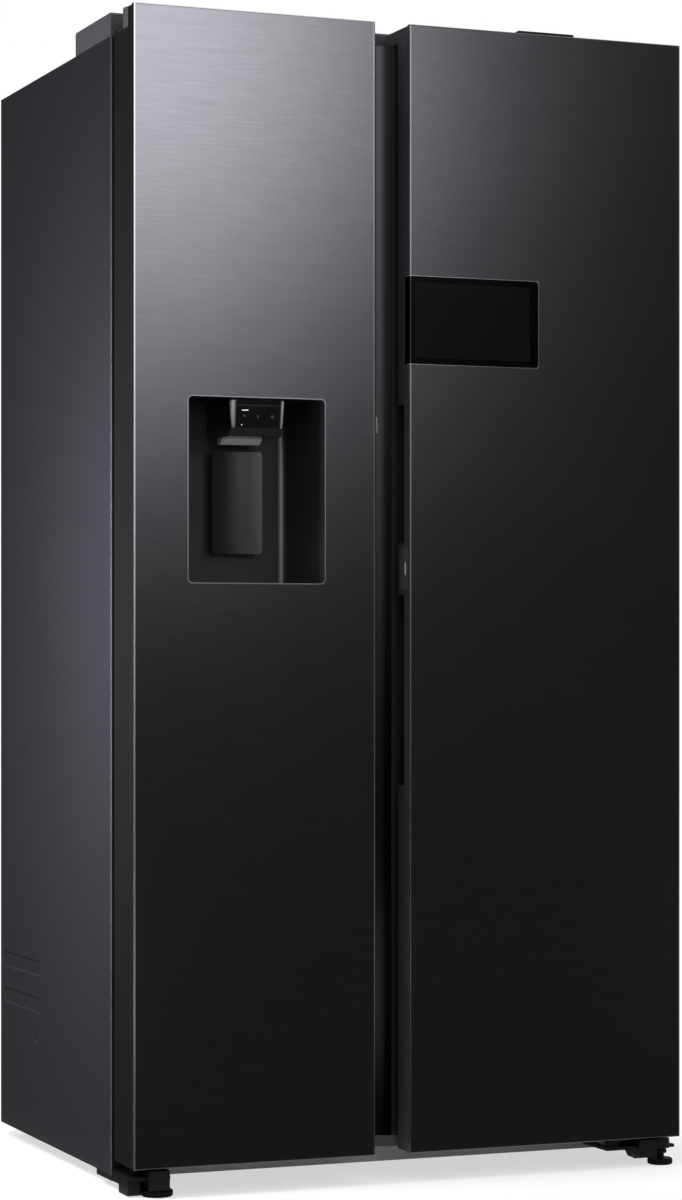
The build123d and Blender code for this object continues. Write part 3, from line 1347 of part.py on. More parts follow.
# Paddle: a plate with rounded corners, hollowed across its width, on ears and a cross shaft behind it
LEVER_WIDE = 82
BLADE = 3
BLADE_Z = (965.5, 1122.5)
BLADE_BOW = 4
BLADE_CORNER = 5
BLADE_FRONT = -257
EAR_X = (12, 17)
EAR_HALF = 5
EAR_SPARE = 5
with BuildPart() as dispenser_lever:
    half = LEVER_WIDE / 2
    middle = BLADE_FRONT + BLADE_BOW
    back = BLADE_FRONT + BLADE
    with BuildSketch(Plane(origin=(DISPENSE_X, 0, BLADE_Z[0]), x_dir=(1, 0, 0), z_dir=(0, 0, 1))):
        with BuildLine():
            face = ThreePointArc((-half, BLADE_FRONT), (0, middle), (half, BLADE_FRONT))
            rear = ThreePointArc((-half, back), (0, middle + BLADE), (half, back))
            Line(face @ 0, rear @ 0)
            Line(face @ 1, rear @ 1)
        make_face()
    extrude(amount=BLADE_Z[1] - BLADE_Z[0])
    fillet(dispenser_lever.edges().filter_by(Axis.Y), radius=BLADE_CORNER)
    for turn in (-1, 1):
        ear = sorted(DISPENSE_X + turn * x for x in EAR_X)
        block(ear, (middle + BLADE / 2, LEVER_Y + EAR_SPARE), (LEVER_Z - EAR_HALF, LEVER_Z + EAR_HALF))
    rod((DISPENSE_X - LUG_X[1], DISPENSE_X + LUG_X[1]), LEVER_Y, LEVER_Z, AXLE_R)
write_piece(dispenser_lever, "dispenser_lever")

# Drip tray with drain slots, let into the recess floor
DRAIN_XS = [RECESS_MID - 60 + i * 15 for i in range(9)]
DRAIN_HALF = 3
DRAIN_Y = (-338, -306)
DRAIN_DEEP = 3
with BuildPart() as drip_tray:
    with BuildSketch(Plane.XY.offset(TRAY_Z[0])):
        with Locations(TRAY_MIDDLE):
            RectangleRounded(*TRAY_SIZE, TRAY_CORNER)
    extrude(amount=TRAY_TALL)
    for x in DRAIN_XS:
        block((x - DRAIN_HALF, x + DRAIN_HALF), DRAIN_Y, (TRAY_Z[1] - DRAIN_DEEP, TRAY_Z[1]), Mode.SUBTRACT)
write_piece(drip_tray, "drip_tray")

# Fridge door
FRIDGE_SLIM = (130, 400)
FRIDGE_DEEP = (690, 950, 1210, 1470)
STRIP = (174, 270)
SCREEN_LEFT = door_x(FRIDGE_SIDE, FRIDGE_PANEL)
SCREEN_BACK = FRONT + SCREEN_THICK
fridge_door_skin = door_skin(
    FRIDGE_SIDE,
    FRIDGE_PANEL,
    (SCREEN_LEFT - SCREEN_OVERRUN, SCREEN_RIGHT, SCREEN_LOW, SCREEN_HIGH),
    SCREEN_CORNER,
)
write_piece(fridge_door_skin, "fridge_door_skin")
fridge_door_body = door_body(
    FRIDGE_SIDE,
    FRIDGE_PANEL,
    FRIDGE_FLANGE,
    [(GRIP_LOW, PLATE_LOW - PLATE_MARGIN), (PLATE_HIGH + PLATE_MARGIN, GRIP_HIGH)],
    ((SCREEN_LEFT, SCREEN_RIGHT), (FRONT + SKIN, SCREEN_BACK), (SCREEN_LOW, SCREEN_HIGH)),
)
write_piece(fridge_door_body, "fridge_door_body")
fridge_door_caps = door_caps(FRIDGE_SIDE, FRIDGE_PANEL, FRIDGE_FLANGE, STRIP)
write_piece(fridge_door_caps, "fridge_door_caps")
fridge_gasket = door_gasket(FRIDGE_SIDE, FRIDGE_FLANGE)
write_piece(fridge_gasket, "fridge_gasket")
fridge_door_liner = door_liner(FRIDGE_SIDE, FRIDGE_PANEL, FRIDGE_FLANGE, FRIDGE_SLIM + FRIDGE_DEEP)
write_piece(fridge_door_liner, "fridge_door_liner")
fridge_slim_bins = door_bins(FRIDGE_SIDE, FRIDGE_PANEL, FRIDGE_SLIM, SLIM_TALL, SLIM_BACK)
write_piece(fridge_slim_bins, "fridge_slim_bins")
fridge_deep_bins = door_bins(FRIDGE_SIDE, FRIDGE_PANEL, FRIDGE_DEEP, DEEP_TALL, DEEP_BACK)
write_piece(fridge_deep_bins, "fridge_deep_bins")

# Glass of the touch screen, turned round the grip edge of the door
with BuildPart() as touch_screen:
    with BuildSketch(Plane(origin=(0, FRONT, 0), x_dir=(1, 0, 0), z_dir=(0, -1, 0))):
        start = SCREEN_LEFT - SCREEN_OVERRUN
        with Locations(((start + SCREEN_RIGHT) / 2, (SCREEN_LOW + SCREEN_HIGH) / 2)):
            RectangleRounded(SCREEN_RIGHT - start, SCREEN_HIGH - SCREEN_LOW, SCREEN_CORNER)
    extrude(amount=-SCREEN_THICK)
    block(
        (SCREEN_LEFT - SCREEN_OVERRUN, SCREEN_LEFT),
        (FRONT, SCREEN_BACK),
        (SCREEN_LOW, SCREEN_HIGH),
        Mode.SUBTRACT,
    )
    block((SCREEN_LEFT, SCREEN_LEFT + SKIN), (SCREEN_BACK, SCREEN_WRAP), (SCREEN_LOW, SCREEN_HIGH))
write_piece(touch_screen, "touch_screen")

with BuildPart() as touch_plate:
    block((SCREEN_LEFT, SCREEN_LEFT + SKIN), PLATE_Y, (PLATE_LOW, PLATE_HIGH))
    fillet(touch_plate.edges().filter_by(Axis.X), radius=PLATE_ROUND)
write_piece(touch_plate, "touch_plate")
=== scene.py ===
"""Looks of a side-by-side fridge-freezer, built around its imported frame, in metres."""
import logging
import math
from dataclasses import dataclass, field
from enum import Enum

import bmesh
import bpy
import numpy as np
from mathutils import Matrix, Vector


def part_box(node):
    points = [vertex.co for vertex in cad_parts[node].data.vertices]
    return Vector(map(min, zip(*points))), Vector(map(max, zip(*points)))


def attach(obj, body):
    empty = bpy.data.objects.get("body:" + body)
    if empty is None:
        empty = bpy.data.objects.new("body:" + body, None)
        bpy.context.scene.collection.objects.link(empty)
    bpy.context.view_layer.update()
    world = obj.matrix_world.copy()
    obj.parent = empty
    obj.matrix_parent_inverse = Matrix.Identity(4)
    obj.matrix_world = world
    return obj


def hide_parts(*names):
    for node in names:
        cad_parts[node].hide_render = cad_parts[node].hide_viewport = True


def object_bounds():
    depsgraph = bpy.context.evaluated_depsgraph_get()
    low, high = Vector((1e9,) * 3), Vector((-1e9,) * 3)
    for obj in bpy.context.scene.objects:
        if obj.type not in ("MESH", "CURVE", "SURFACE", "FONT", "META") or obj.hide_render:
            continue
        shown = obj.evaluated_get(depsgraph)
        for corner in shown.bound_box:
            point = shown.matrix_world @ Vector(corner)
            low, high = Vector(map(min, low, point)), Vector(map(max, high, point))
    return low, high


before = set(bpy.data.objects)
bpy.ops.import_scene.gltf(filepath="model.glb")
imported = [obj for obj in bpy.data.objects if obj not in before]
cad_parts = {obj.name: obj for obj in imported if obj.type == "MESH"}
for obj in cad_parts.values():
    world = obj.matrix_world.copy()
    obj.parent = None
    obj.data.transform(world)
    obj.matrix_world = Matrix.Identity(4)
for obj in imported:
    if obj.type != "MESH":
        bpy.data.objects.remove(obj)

LOG = logging.getLogger("fridge")
CAD_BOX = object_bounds()
MM = 0.001
WELD = 1e-6
THIN = 1e-7
SHARP = math.radians(35)
TILE_LIFT = 0.15 * MM
TILE_DOME = 0.2 * MM
SLOPE_WIDE = 3 * MM

Pair = tuple[float, float]
Triple = tuple[float, float, float]
Box = tuple[float, float, float, float]
Colour = Triple
Array = np.ndarray

WHITE: Colour = (1.0, 1.0, 1.0)


class Axis(Enum):
    """The three axes of the shared frame, as array columns."""

    X = 0
    Y = 1
    Z = 2


class Graph:
    """The node tree of one material, grown by add() and by expressions on values."""

    def __init__(self, tree: bpy.types.NodeTree) -> None:
        """Take over an empty tree.

        Args:
            tree: The node tree to fill. Its nodes are cleared.
        """
        self.tree = tree
        tree.nodes.clear()

    def add(self, kind: str, settings: dict, inputs: dict, out: int | str = 0) -> "Value":
        """Add any node.

        Args:
            kind: The node's type.
            settings: Its own properties, set first.
            inputs: Numbers, colours or values for its sockets, by name or index.
            out: The output to return.

        Returns:
            The chosen output, ready for expressions.
        """
        node = self.tree.nodes.new(kind)
        for key, setting in settings.items():
            setattr(node, key, setting)
        for key, given in inputs.items():
            if isinstance(given, Value):
                self.tree.links.new(given.socket, node.inputs[key])
            else:
                node.inputs[key].default_value = given
        return Value(self, node.outputs[out])

    def place(self) -> "Value":
        """The point on the surface in the shared frame."""
        return self.add("ShaderNodeTexCoord", {}, {}, "Object")

    def along(self, axis: Axis) -> "Value":
        """One coordinate of the point on the surface."""
        return self.add("ShaderNodeSeparateXYZ", {}, {0: self.place()}, axis.value)

    def noise(self, scale: Triple, detail: float = 2.0) -> "Value":
        """A noise from 0 to 1, stretched along each axis.

        Args:
            scale: How many bumps there are in a metre along X, Y and Z.
            detail: How many finer layers are added.

        Returns:
            The noise value.
        """
        point = self.add("ShaderNodeMapping", {}, {"Vector": self.place(), "Scale": scale})
        return self.add("ShaderNodeTexNoise", {}, {"Vector": point, "Scale": 1.0, "Detail": detail})

    def mix(self, share: "Value", first: object, second: object) -> "Value":
        """Blend two colours.

        Args:
            share: 0 gives the first colour and 1 the second.
            first: A colour or a value.
            second: A colour or a value.

        Returns:
            The blended colour.
        """
        ends = [c if isinstance(c, Value) else (*c, 1.0) for c in (first, second)]
        settings = {"data_type": "RGBA", "clamp_factor": True}
        return self.add("ShaderNodeMix", settings, {0: share, 6: ends[0], 7: ends[1]}, 2)

    def bump(self, height: "Value", depth: float) -> "Value":
        """A normal bent by a height field whose full range is depth metres."""
        return self.add("ShaderNodeBump", {}, {"Height": height, "Distance": depth, "Strength": 1.0})

    def blend(self, share: "Value", first: "Value", second: "Value") -> "Value":
        """Mix two shaders by a share that may change over the surface."""
        return self.add("ShaderNodeMixShader", {}, {0: share, 1: first, 2: second})

    def output(self, shader: "Value", kind: str = "ShaderNodeOutputMaterial") -> None:
        """Send a shader to the output of the tree."""
        node = self.tree.nodes.new(kind)
        self.tree.links.new(shader.socket, node.inputs["Surface"])


class Value:
    """A socket that can stand in Python expressions, which add Math nodes."""

    def __init__(self, graph: Graph, socket: bpy.types.NodeSocket) -> None:
        """Wrap one output socket of a graph."""
        self.graph = graph
        self.socket = socket

    def math(self, operation: str, *others: object) -> "Value":
        """Add a Math node whose first input is this value.

        Args:
            operation: The Math node's operation.
            others: Its second and third inputs, as numbers or values.

        Returns:
            The result.
        """
        inputs = dict(enumerate((self, *others)))
        return self.graph.add("ShaderNodeMath", {"operation": operation}, inputs)

    def swapped(self, operation: str, first: float) -> "Value":
        """Add a Math node whose second input is this value."""
        return self.graph.add("ShaderNodeMath", {"operation": operation}, {0: first, 1: self})

    def __add__(self, other: object) -> "Value":
        """The sum."""
        return self.math("ADD", other)

    def __sub__(self, other: object) -> "Value":
        """The difference."""
        return self.math("SUBTRACT", other)

    def __mul__(self, other: object) -> "Value":
        """The product."""
        return self.math("MULTIPLY", other)

    def __rsub__(self, other: float) -> "Value":
        """The difference from a number."""
        return self.swapped("SUBTRACT", other)

    def __rpow__(self, other: float) -> "Value":
        """A number raised to this value."""
        return self.swapped("POWER", other)

    __radd__ = __add__
    __rmul__ = __mul__

    def least(self, other: object) -> "Value":
        """The smaller of two values."""
        return self.math("MINIMUM", other)

    def most(self, other: object) -> "Value":
        """The larger of two values."""
        return self.math("MAXIMUM", other)

    def rise(self, low: float, high: float) -> "Value":
        """A smooth step: 0 below low, 1 above high."""
        settings = {"interpolation_type": "SMOOTHSTEP"}
        return self.graph.add("ShaderNodeMapRange", settings, {0: self, 1: low, 2: high})

    def inside(self, low: float, high: float, soft: float) -> "Value":
        """1 between two limits and 0 outside, with an edge that is soft metres wide."""
        return self.rise(low - soft, low) * (1 - self.rise(high, high + soft))


@dataclass(frozen=True)
class Finish:
    """A surface finish: its name, its main colour and how rough it is."""

    name: str
    colour: Colour
    roughness: float

    def shader(self, g: Graph) -> Value:
        """Build the shader of the finish in a graph."""
        raise NotImplementedError

    def principled(self, g: Graph, inputs: dict) -> Value:
        """A Principled shader with this finish's colour and roughness unless inputs give others."""
        settings = {"Base Color": (*self.colour, 1.0), "Roughness": self.roughness}
        return g.add("ShaderNodeBsdfPrincipled", {}, {**settings, **inputs})

    def material(self) -> bpy.types.Material:
        """The Blender material of the finish, made once.

        Returns:
            The material.
        """
        look = f"{self.name}_look"
        found = bpy.data.materials.get(look)
        if found:
            return found
        made = bpy.data.materials.new(look)
        made.use_nodes = True
        graph = Graph(made.node_tree)
        graph.output(self.shader(graph))
        return made

    def shade(self, g: Graph, noise: Value, spread: float) -> Value:
        """The main colour, darker and lighter by a share of itself where a noise is low and high.

        Args:
            g: The graph that the nodes go into.
            noise: A value from 0 to 1.
            spread: The share of the colour that it changes by.

        Returns:
            The colour.
        """
        dark = tuple(c * (1 - spread) for c in self.colour)
        light = tuple(c * (1 + spread) for c in self.colour)
        return g.mix(noise, dark, light)

    def uneven(self, noise: Value, spread: float) -> Value:
        """The roughness, lower and higher by half a spread where a noise is low and high."""
        return self.roughness + (noise - 0.5) * spread


@dataclass(frozen=True)
class BrushedSteel(Finish):
    """Steel with fine grain lines along X, a band round a panel painted as an edge highlight, and dull
    turned-back sides.

    The band lies where the distance to the panel's left, right or upper edge is under
    edge_wide, and is weaker on the right, where a fine line follows the fold instead. Band and
    line are painted highlights on the rounded edges. A thinner line follows the cut edge of an
    opening in the panel, partly bare cut metal and partly a painted highlight.
    """

    panel: Triple | None = None
    opening: Box | None = None
    specular: float = 0.2
    edge_wide: float = 2.2 * MM
    # The edge colour and the fold's gain paint highlights on the panel's rounded edges; the cut colour is
    # partly bare metal, partly a painted highlight.
    edge_colour: Colour = (0.62, 0.62, 0.65)
    edge_roughness: float = 0.06
    right_share: float = 0.2
    fold: Pair = (2.0 * MM, 3.3 * MM)
    fold_soft: float = 0.3 * MM
    fold_highlight_gain: float = 2.4
    return_depth: Pair = (2.0 * MM, 2.6 * MM)
    return_colour: Colour = (0.035, 0.035, 0.037)
    cut_wide: float = 1.0 * MM
    cut_colour: Colour = (0.28, 0.28, 0.30)
    grain: float = 0.40
    grain_depth: float = 0.003 * MM
    coarse: Triple = (16.0, 16.0, 720.0)
    fine: Triple = (44.0, 44.0, 1300.0)
    fine_spread: float = 0.08
    cloud: Triple = (2.2, 2.2, 3.1)
    cloud_spread: float = 0.03

    def shader(self, g: Graph) -> Value:
        """Grain lines in colour, roughness and height, and the bright edge band.

        Args:
            g: The graph that the nodes go into.

        Returns:
            The shader.
        """
        fine, cloud = g.noise(self.fine), g.noise(self.cloud)
        lines = (g.noise(self.coarse) + fine) * 0.5
        colour = self.shade(g, lines, self.grain)
        roughness = self.uneven(fine, self.fine_spread) + (cloud - 0.5) * self.cloud_spread
        metal = 1.0
        if self.panel:
            band, back = self.edge_band(g)
            # Painted highlights: the fine line along the fold and the edge band.
            fold = (self.panel[1] - g.along(Axis.X)).inside(*self.fold, self.fold_soft)
            colour = g.mix(fold, colour, tuple(c * self.fold_highlight_gain for c in self.colour))
            colour = g.mix(back, g.mix(band, colour, self.edge_colour), self.return_colour)
            roughness = roughness + band * self.edge_roughness
            lines = lines * (1 - band)
            metal = 1 - back
        if self.opening:
            # Lighter cut edge: partly bare metal, partly a painted highlight.
            colour = g.mix(self.cut_band(g), colour, self.cut_colour)
        return self.principled(
            g,
            {
                "Base Color": colour,
                "Metallic": metal,
                "Roughness": roughness,
                "Specular IOR Level": self.specular,
                "Normal": g.bump(lines, self.grain_depth),
            },
        )

    def edge_band(self, g: Graph) -> tuple[Value, Value]:
        """Where the painted highlight of the front edge lies, and where the sheet is turned back behind it.

        Args:
            g: The graph that the nodes go into.

        Returns:
            The share of the band and the share of the turned-back sheet.
        """
        left, right, high = self.panel
        x, z = g.along(Axis.X), g.along(Axis.Z)
        limits = (0.5 * self.edge_wide, self.edge_wide)
        near = 1 - (x - left).least(high - z).rise(*limits)
        band = near.most((1 - (right - x).rise(*limits)) * self.right_share)
        front = CAD_BOX[0].y
        return band, g.along(Axis.Y).rise(*(front + depth for depth in self.return_depth))

    def cut_band(self, g: Graph) -> Value:
        """Where the cut edge of the opening lies: up to cut_wide outside its rectangle.

        Args:
            g: The graph that the nodes go into.

        Returns:
            The share of the cut edge.
        """
        left, right, low, high = self.opening
        x, z = g.along(Axis.X), g.along(Axis.Z)
        outside = (left - x).most(x - right).most((low - z).most(z - high))
        return 1 - outside.rise(0.7 * self.cut_wide, self.cut_wide)


@dataclass(frozen=True)
class SatinPaint(Finish):
    """Paint on sheet metal, with a faint orange-peel surface and soft unevenness."""

    peel: float = 420.0
    depth: float = 0.02 * MM
    specular: float = 0.35
    cloud: Triple = (3.0, 3.0, 2.0)
    colour_spread: float = 0.06
    rough_spread: float = 0.08

    def shader(self, g: Graph) -> Value:
        """Orange peel in the normal, faint clouds in colour and roughness.

        Args:
            g: The graph that the nodes go into.

        Returns:
            The shader.
        """
        cloud = g.noise(self.cloud, 3)
        return self.principled(
            g,
            {
                "Base Color": self.shade(g, cloud, self.colour_spread),
                "Roughness": self.uneven(cloud, self.rough_spread),
                "Specular IOR Level": self.specular,
                "Normal": g.bump(g.noise((self.peel,) * 3), self.depth),
            },
        )


@dataclass(frozen=True)
class CasePaint(SatinPaint):
    """Paint of the outer case, painted lighter on its rounded front edge as a highlight, and near black on
    its front flange as painted shade.
    """

    # Painted shade: the front flange, which lies in shade, is painted near black. Painted highlight: the
    # rounded front edge is painted lighter.
    strip_y: Pair = (-247.6 * MM, -247.4 * MM)
    flange_shade_colour: Colour = (0.004, 0.004, 0.004)
    flange_shade_roughness: float = 0.7
    flange_shade_specular: float = 0.1
    edge_y: Pair = (-245.9 * MM, -245.3 * MM)
    edge_colour: Colour = (0.082, 0.080, 0.092)

    def shader(self, g: Graph) -> Value:
        """Near-black painted shade in front of strip_y, a lighter painted highlight up to edge_y and full
        paint behind it.

        Args:
            g: The graph that the nodes go into.

        Returns:
            The shader.
        """
        y = g.along(Axis.Y)
        strip = Moulded(
            self.name + "_strip", self.flange_shade_colour, self.flange_shade_roughness, specular=self.flange_shade_specular
        )
        edge = SatinPaint(self.name + "_edge", self.edge_colour, self.roughness, specular=self.specular)
        behind = g.blend(y.rise(*self.edge_y), edge.shader(g), super().shader(g))
        return g.blend(y.rise(*self.strip_y), strip.shader(g), behind)


@dataclass(frozen=True)
class RunnerPaint(SatinPaint):
    """Paint of the base, with black runners along its two sides."""

    runner_x: Pair = (446.6 * MM, 446.8 * MM)
    runner_top: Pair = (21.9 * MM, 22.0 * MM)
    runner_colour: Colour = (0.005, 0.005, 0.005)
    runner_roughness: float = 0.6
    runner_specular: float = 0.2

    def shader(self, g: Graph) -> Value:
        """Paint everywhere but on the runners, which lie outside runner_x and under runner_top.

        Args:
            g: The graph that the nodes go into.

        Returns:
            The shader.
        """
        black = Moulded(
            self.name + "_runner", self.runner_colour, self.runner_roughness, specular=self.runner_specular
        )
        outside = g.along(Axis.X).math("ABSOLUTE").rise(*self.runner_x)
        under = 1 - g.along(Axis.Z).rise(*self.runner_top)
        return g.blend(outside * under, super().shader(g), black.shader(g))


@dataclass(frozen=True)
class Moulded(Finish):
    """Moulded plastic with a fine spark-eroded texture."""

    texture: float = 1100.0
    depth: float = 0.05 * MM
    specular: float = 0.4
    cloud: Triple = (7.0, 7.0, 4.0)
    colour_spread: float = 0.10
    cloud_spread: float = 0.10
    pit_spread: float = 0.08

    def shader(self, g: Graph) -> Value:
        """Texture in the normal, and slow changes in colour and roughness.

        Args:
            g: The graph that the nodes go into.

        Returns:
            The shader.
        """
        pits = g.noise((self.texture,) * 3)
        cloud = g.noise(self.cloud, 3)
        return self.principled(
            g,
            {
                "Base Color": self.shade(g, cloud, self.colour_spread),
                "Roughness": self.uneven(cloud, self.cloud_spread) + (pits - 0.5) * self.pit_spread,
                "Specular IOR Level": self.specular,
                "Normal": g.bump(pits, self.depth),
            },
        )


@dataclass(frozen=True)
class GripBody(Moulded):
    """Dark door body with a lip in front of the grip painted grey as painted light, and brushed sheet on the
    flange behind it with painted shade.
    """

    sheet_x: Pair = (-10.9 * MM, -10.6 * MM)
    sheet: Colour = (0.021, 0.021, 0.0227)
    sheet_roughness: float = 0.14
    # The shadow colour is painted shade deepening into the grip; the lip colour is painted light on the
    # door's dark side.
    shadow_x: Pair = (-34 * MM, -17 * MM)
    shadow: Colour = (0.003, 0.003, 0.0032)
    lip: Colour = (0.046, 0.046, 0.051)
    lip_roughness: float = 0.5
    lip_x: Pair = (-9.5 * MM, -9.3 * MM)
    lip_y: Pair = (-306.5 * MM, -306.2 * MM)

    def shader(self, g: Graph) -> Value:
        """Sheet left of sheet_x with painted shade deepening into the grip, the lip up to lip_x and lip_y in
        painted-light grey, and the rest dark.

        Args:
            g: The graph that the nodes go into.

        Returns:
            The shader.
        """
        x, y = g.along(Axis.X), g.along(Axis.Y)
        steel = BrushedSteel(self.name + "_sheet", self.sheet, self.sheet_roughness)
        painted_shade_sheet = BrushedSteel(self.name + "_tint", self.shadow, self.sheet_roughness)
        grey = Moulded(self.name + "_lip", self.lip, self.lip_roughness)
        on_lip = (1 - x.rise(*self.lip_x)) * (1 - y.rise(*self.lip_y))
        body = g.blend(on_lip, super().shader(g), grey.shader(g))
        flange = g.blend(x.rise(*self.shadow_x), steel.shader(g), painted_shade_sheet.shader(g))
        return g.blend(x.rise(*self.sheet_x), flange, body)


@dataclass(frozen=True)
class ColourStep(Moulded):
    """Moulded plastic that changes its colour at one place along an axis."""

    axis: Axis = Axis.Z
    limit: float = 0.0
    soft: float = 0.4 * MM
    beyond: Colour = (0.0, 0.0, 0.0)

    def shader(self, g: Graph) -> Value:
        """The main colour up to the limit and the other one beyond it.

        Args:
            g: The graph that the nodes go into.

        Returns:
            The shader.
        """
        other = Moulded(self.name + "_beyond", self.beyond, self.roughness, specular=self.specular)
        share = g.along(self.axis).rise(self.limit, self.limit + self.soft)
        return g.blend(share, super().shader(g), other.shader(g))


@dataclass(frozen=True)
class RecessPlastic(Moulded):
    """Black plastic of the dispenser recess, wiped glossy in the rounded corner at its back.

    It is painted paler towards its floor as painted light, and darker higher up as painted shade.
    """

    corner_x: Pair = (0.0, 1.0)
    corner_soft: float = 1.5 * MM
    corner_y: Pair = (0.0, 1.0)
    wiped_roughness: float = 0.40
    wiped_specular: float = 0.85
    painted_light_z: Pair = (0.0, 1.0)
    painted_light: Colour = (0.0222, 0.0222, 0.0238)

    def shader(self, g: Graph) -> Value:
        """Textured plastic painted paler downwards as painted light, blended into a smoother one where the
        corner lies.

        Args:
            g: The graph that the nodes go into.

        Returns:
            The shader.
        """
        # Painted light low down, painted shade higher up.
        above = g.along(Axis.Z).rise(*self.painted_light_z)
        wiped = {
            "Base Color": g.mix(above, self.painted_light, self.colour),
            "Roughness": self.wiped_roughness,
            "Specular IOR Level": self.wiped_specular,
        }
        pale = Moulded(self.name + "_splash", self.painted_light, self.roughness, specular=self.specular)
        across = g.along(Axis.X).inside(*self.corner_x, self.corner_soft)
        corner = across * g.along(Axis.Y).rise(*self.corner_y)
        textured = g.blend(above, pale.shader(g), super().shader(g))
        return g.blend(corner, textured, self.principled(g, wiped))


@dataclass(frozen=True)
class Polished(Finish):
    """Polished plastic or lacquer with faint wiping marks."""

    specular: float = 0.5
    marks: Triple = (30.0, 30.0, 9.0)
    marks_range: Pair = (0.45, 0.8)
    colour_spread: float = 0.08
    rough_rise: float = 0.06
    wave: Triple = (14.0, 14.0, 14.0)
    wave_depth: float = 0.03 * MM

    def wiped(self, g: Graph) -> tuple[Value, Value]:
        """The colour and the roughness under the wiping marks.

        Args:
            g: The graph that the nodes go into.

        Returns:
            The colour and the roughness.
        """
        marks = g.noise(self.marks, 4)
        roughness = self.roughness + marks.rise(*self.marks_range) * self.rough_rise
        return self.shade(g, marks, self.colour_spread), roughness

    def shader(self, g: Graph) -> Value:
        """Wiping marks in colour and roughness, and a barely waved surface.

        Args:
            g: The graph that the nodes go into.

        Returns:
            The shader.
        """
        colour, roughness = self.wiped(g)
        return self.principled(
            g,
            {
                "Base Color": colour,
                "Roughness": roughness,
                "Specular IOR Level": self.specular,
                "Normal": g.bump(g.noise(self.wave, 1), self.wave_depth),
            },
        )


@dataclass(frozen=True)
class EndBanded(Polished):
    """Polished black with a silvered band fading in towards both ends of its front, a painted highlight on
    the rounded ends, over a grey sill.
    """

    middle: float = 0.0
    reach: Pair = (0.0, 1.0)
    face: Pair = (0.0, 1.0)
    face_soft: float = 0.6 * MM
    turn: Pair = (0.0, 1.0)
    band: Colour = (0.86, 0.86, 0.89)
    band_roughness: float = 0.12
    sill: Colour = (0.0130, 0.0130, 0.0140)
    sill_soft: float = 1.0 * MM

    def shader(self, g: Graph) -> Value:
        """Black between the ends, a painted highlight in metal outside them up to where the face turns, and
        grey under it.

        Args:
            g: The graph that the nodes go into.

        Returns:
            The shader.
        """
        z = g.along(Axis.Z)
        # The metal band and its fade towards the ends are a painted highlight on the block's rounded ends.
        outward = (g.along(Axis.X) - self.middle).math("ABSOLUTE").rise(*self.reach)
        front = 1 - g.along(Axis.Y).rise(*self.turn)
        share = outward * front * z.inside(*self.face, self.face_soft)
        above = z.rise(self.face[0] - self.sill_soft, self.face[0])
        colour, roughness = self.wiped(g)
        return self.principled(
            g,
            {
                "Base Color": g.mix(share, g.mix(above, self.sill, colour), self.band),
                "Metallic": share,
                "Roughness": roughness + share * self.band_roughness,
                "Specular IOR Level": self.specular,
            },
        )


@dataclass(frozen=True)
class ScreenGlass(Finish):
    """Black glass whose display area is a shade lighter than its border."""

    specular: float = 0.06
    display: Box = (0.0, 1.0, 0.0, 1.0)
    display_colour: Colour = (0.0040, 0.0040, 0.0047)
    display_soft: float = 0.8 * MM
    edge_x: Pair = (0.0, 1.0)
    edge_soft: float = 0.4 * MM
    edge_colour: Colour = (0.05, 0.05, 0.053)
    marks: Triple = (24.0, 24.0, 24.0)
    marks_range: Pair = (0.5, 0.85)
    rough_rise: float = 0.08

    def shader(self, g: Graph) -> Value:
        """Border, display and ground edge colours by place, and faint finger marks in the roughness.

        Args:
            g: The graph that the nodes go into.

        Returns:
            The shader.
        """
        x, z = g.along(Axis.X), g.along(Axis.Z)
        left, right, low, high = self.display
        lit = x.inside(left, right, self.display_soft) * z.inside(low, high, self.display_soft)
        edge = x.inside(*self.edge_x, self.edge_soft)
        marks = g.noise(self.marks, 4).rise(*self.marks_range)
        return self.principled(
            g,
            {
                "Base Color": g.mix(edge, g.mix(lit, self.colour, self.display_colour), self.edge_colour),
                "Roughness": self.roughness + marks * self.rough_rise,
                "Specular IOR Level": self.specular,
            },
        )


@dataclass(frozen=True)
class ClearPlastic(Finish):
    """Clear moulded plastic or glass, slightly hazed."""

    ior: float = 1.46
    transmission: float = 0.92
    marks: Triple = (26.0, 26.0, 18.0)
    haze: float = 0.06
    wave: Triple = (22.0, 22.0, 12.0)
    wave_depth: float = 0.05 * MM

    def shader(self, g: Graph) -> Value:
        """Transmission with haze marks in the roughness and a soft moulding wave.

        Args:
            g: The graph that the nodes go into.

        Returns:
            The shader.
        """
        return self.principled(
            g,
            {
                "Roughness": self.roughness + g.noise(self.marks, 3) * self.haze,
                "Transmission Weight": self.transmission,
                "IOR": self.ior,
                "Normal": g.bump(g.noise(self.wave, 1), self.wave_depth),
            },
        )


@dataclass(frozen=True)
class TrimmedGlass(ClearPlastic):
    """Glass shelves with white moulded trims along their front and back edges."""

    front: float = -122 * MM
    back: float = 196 * MM
    soft: float = 0.2 * MM
    trim: Colour = (0.78, 0.79, 0.80)
    trim_roughness: float = 0.34
    trim_spread: float = 0.1
    texture: float = 900.0
    texture_depth: float = 0.02 * MM

    def shader(self, g: Graph) -> Value:
        """Glass in the middle of the depth, satin plastic on the two trims.

        Args:
            g: The graph that the nodes go into.

        Returns:
            The shader.
        """
        pits = g.noise((self.texture,) * 3)
        bar = self.principled(
            g,
            {
                "Base Color": (*self.trim, 1.0),
                "Roughness": self.trim_roughness + pits * self.trim_spread,
                "Normal": g.bump(pits, self.texture_depth),
            },
        )
        return g.blend(g.along(Axis.Y).inside(self.front, self.back, self.soft), bar, super().shader(g))


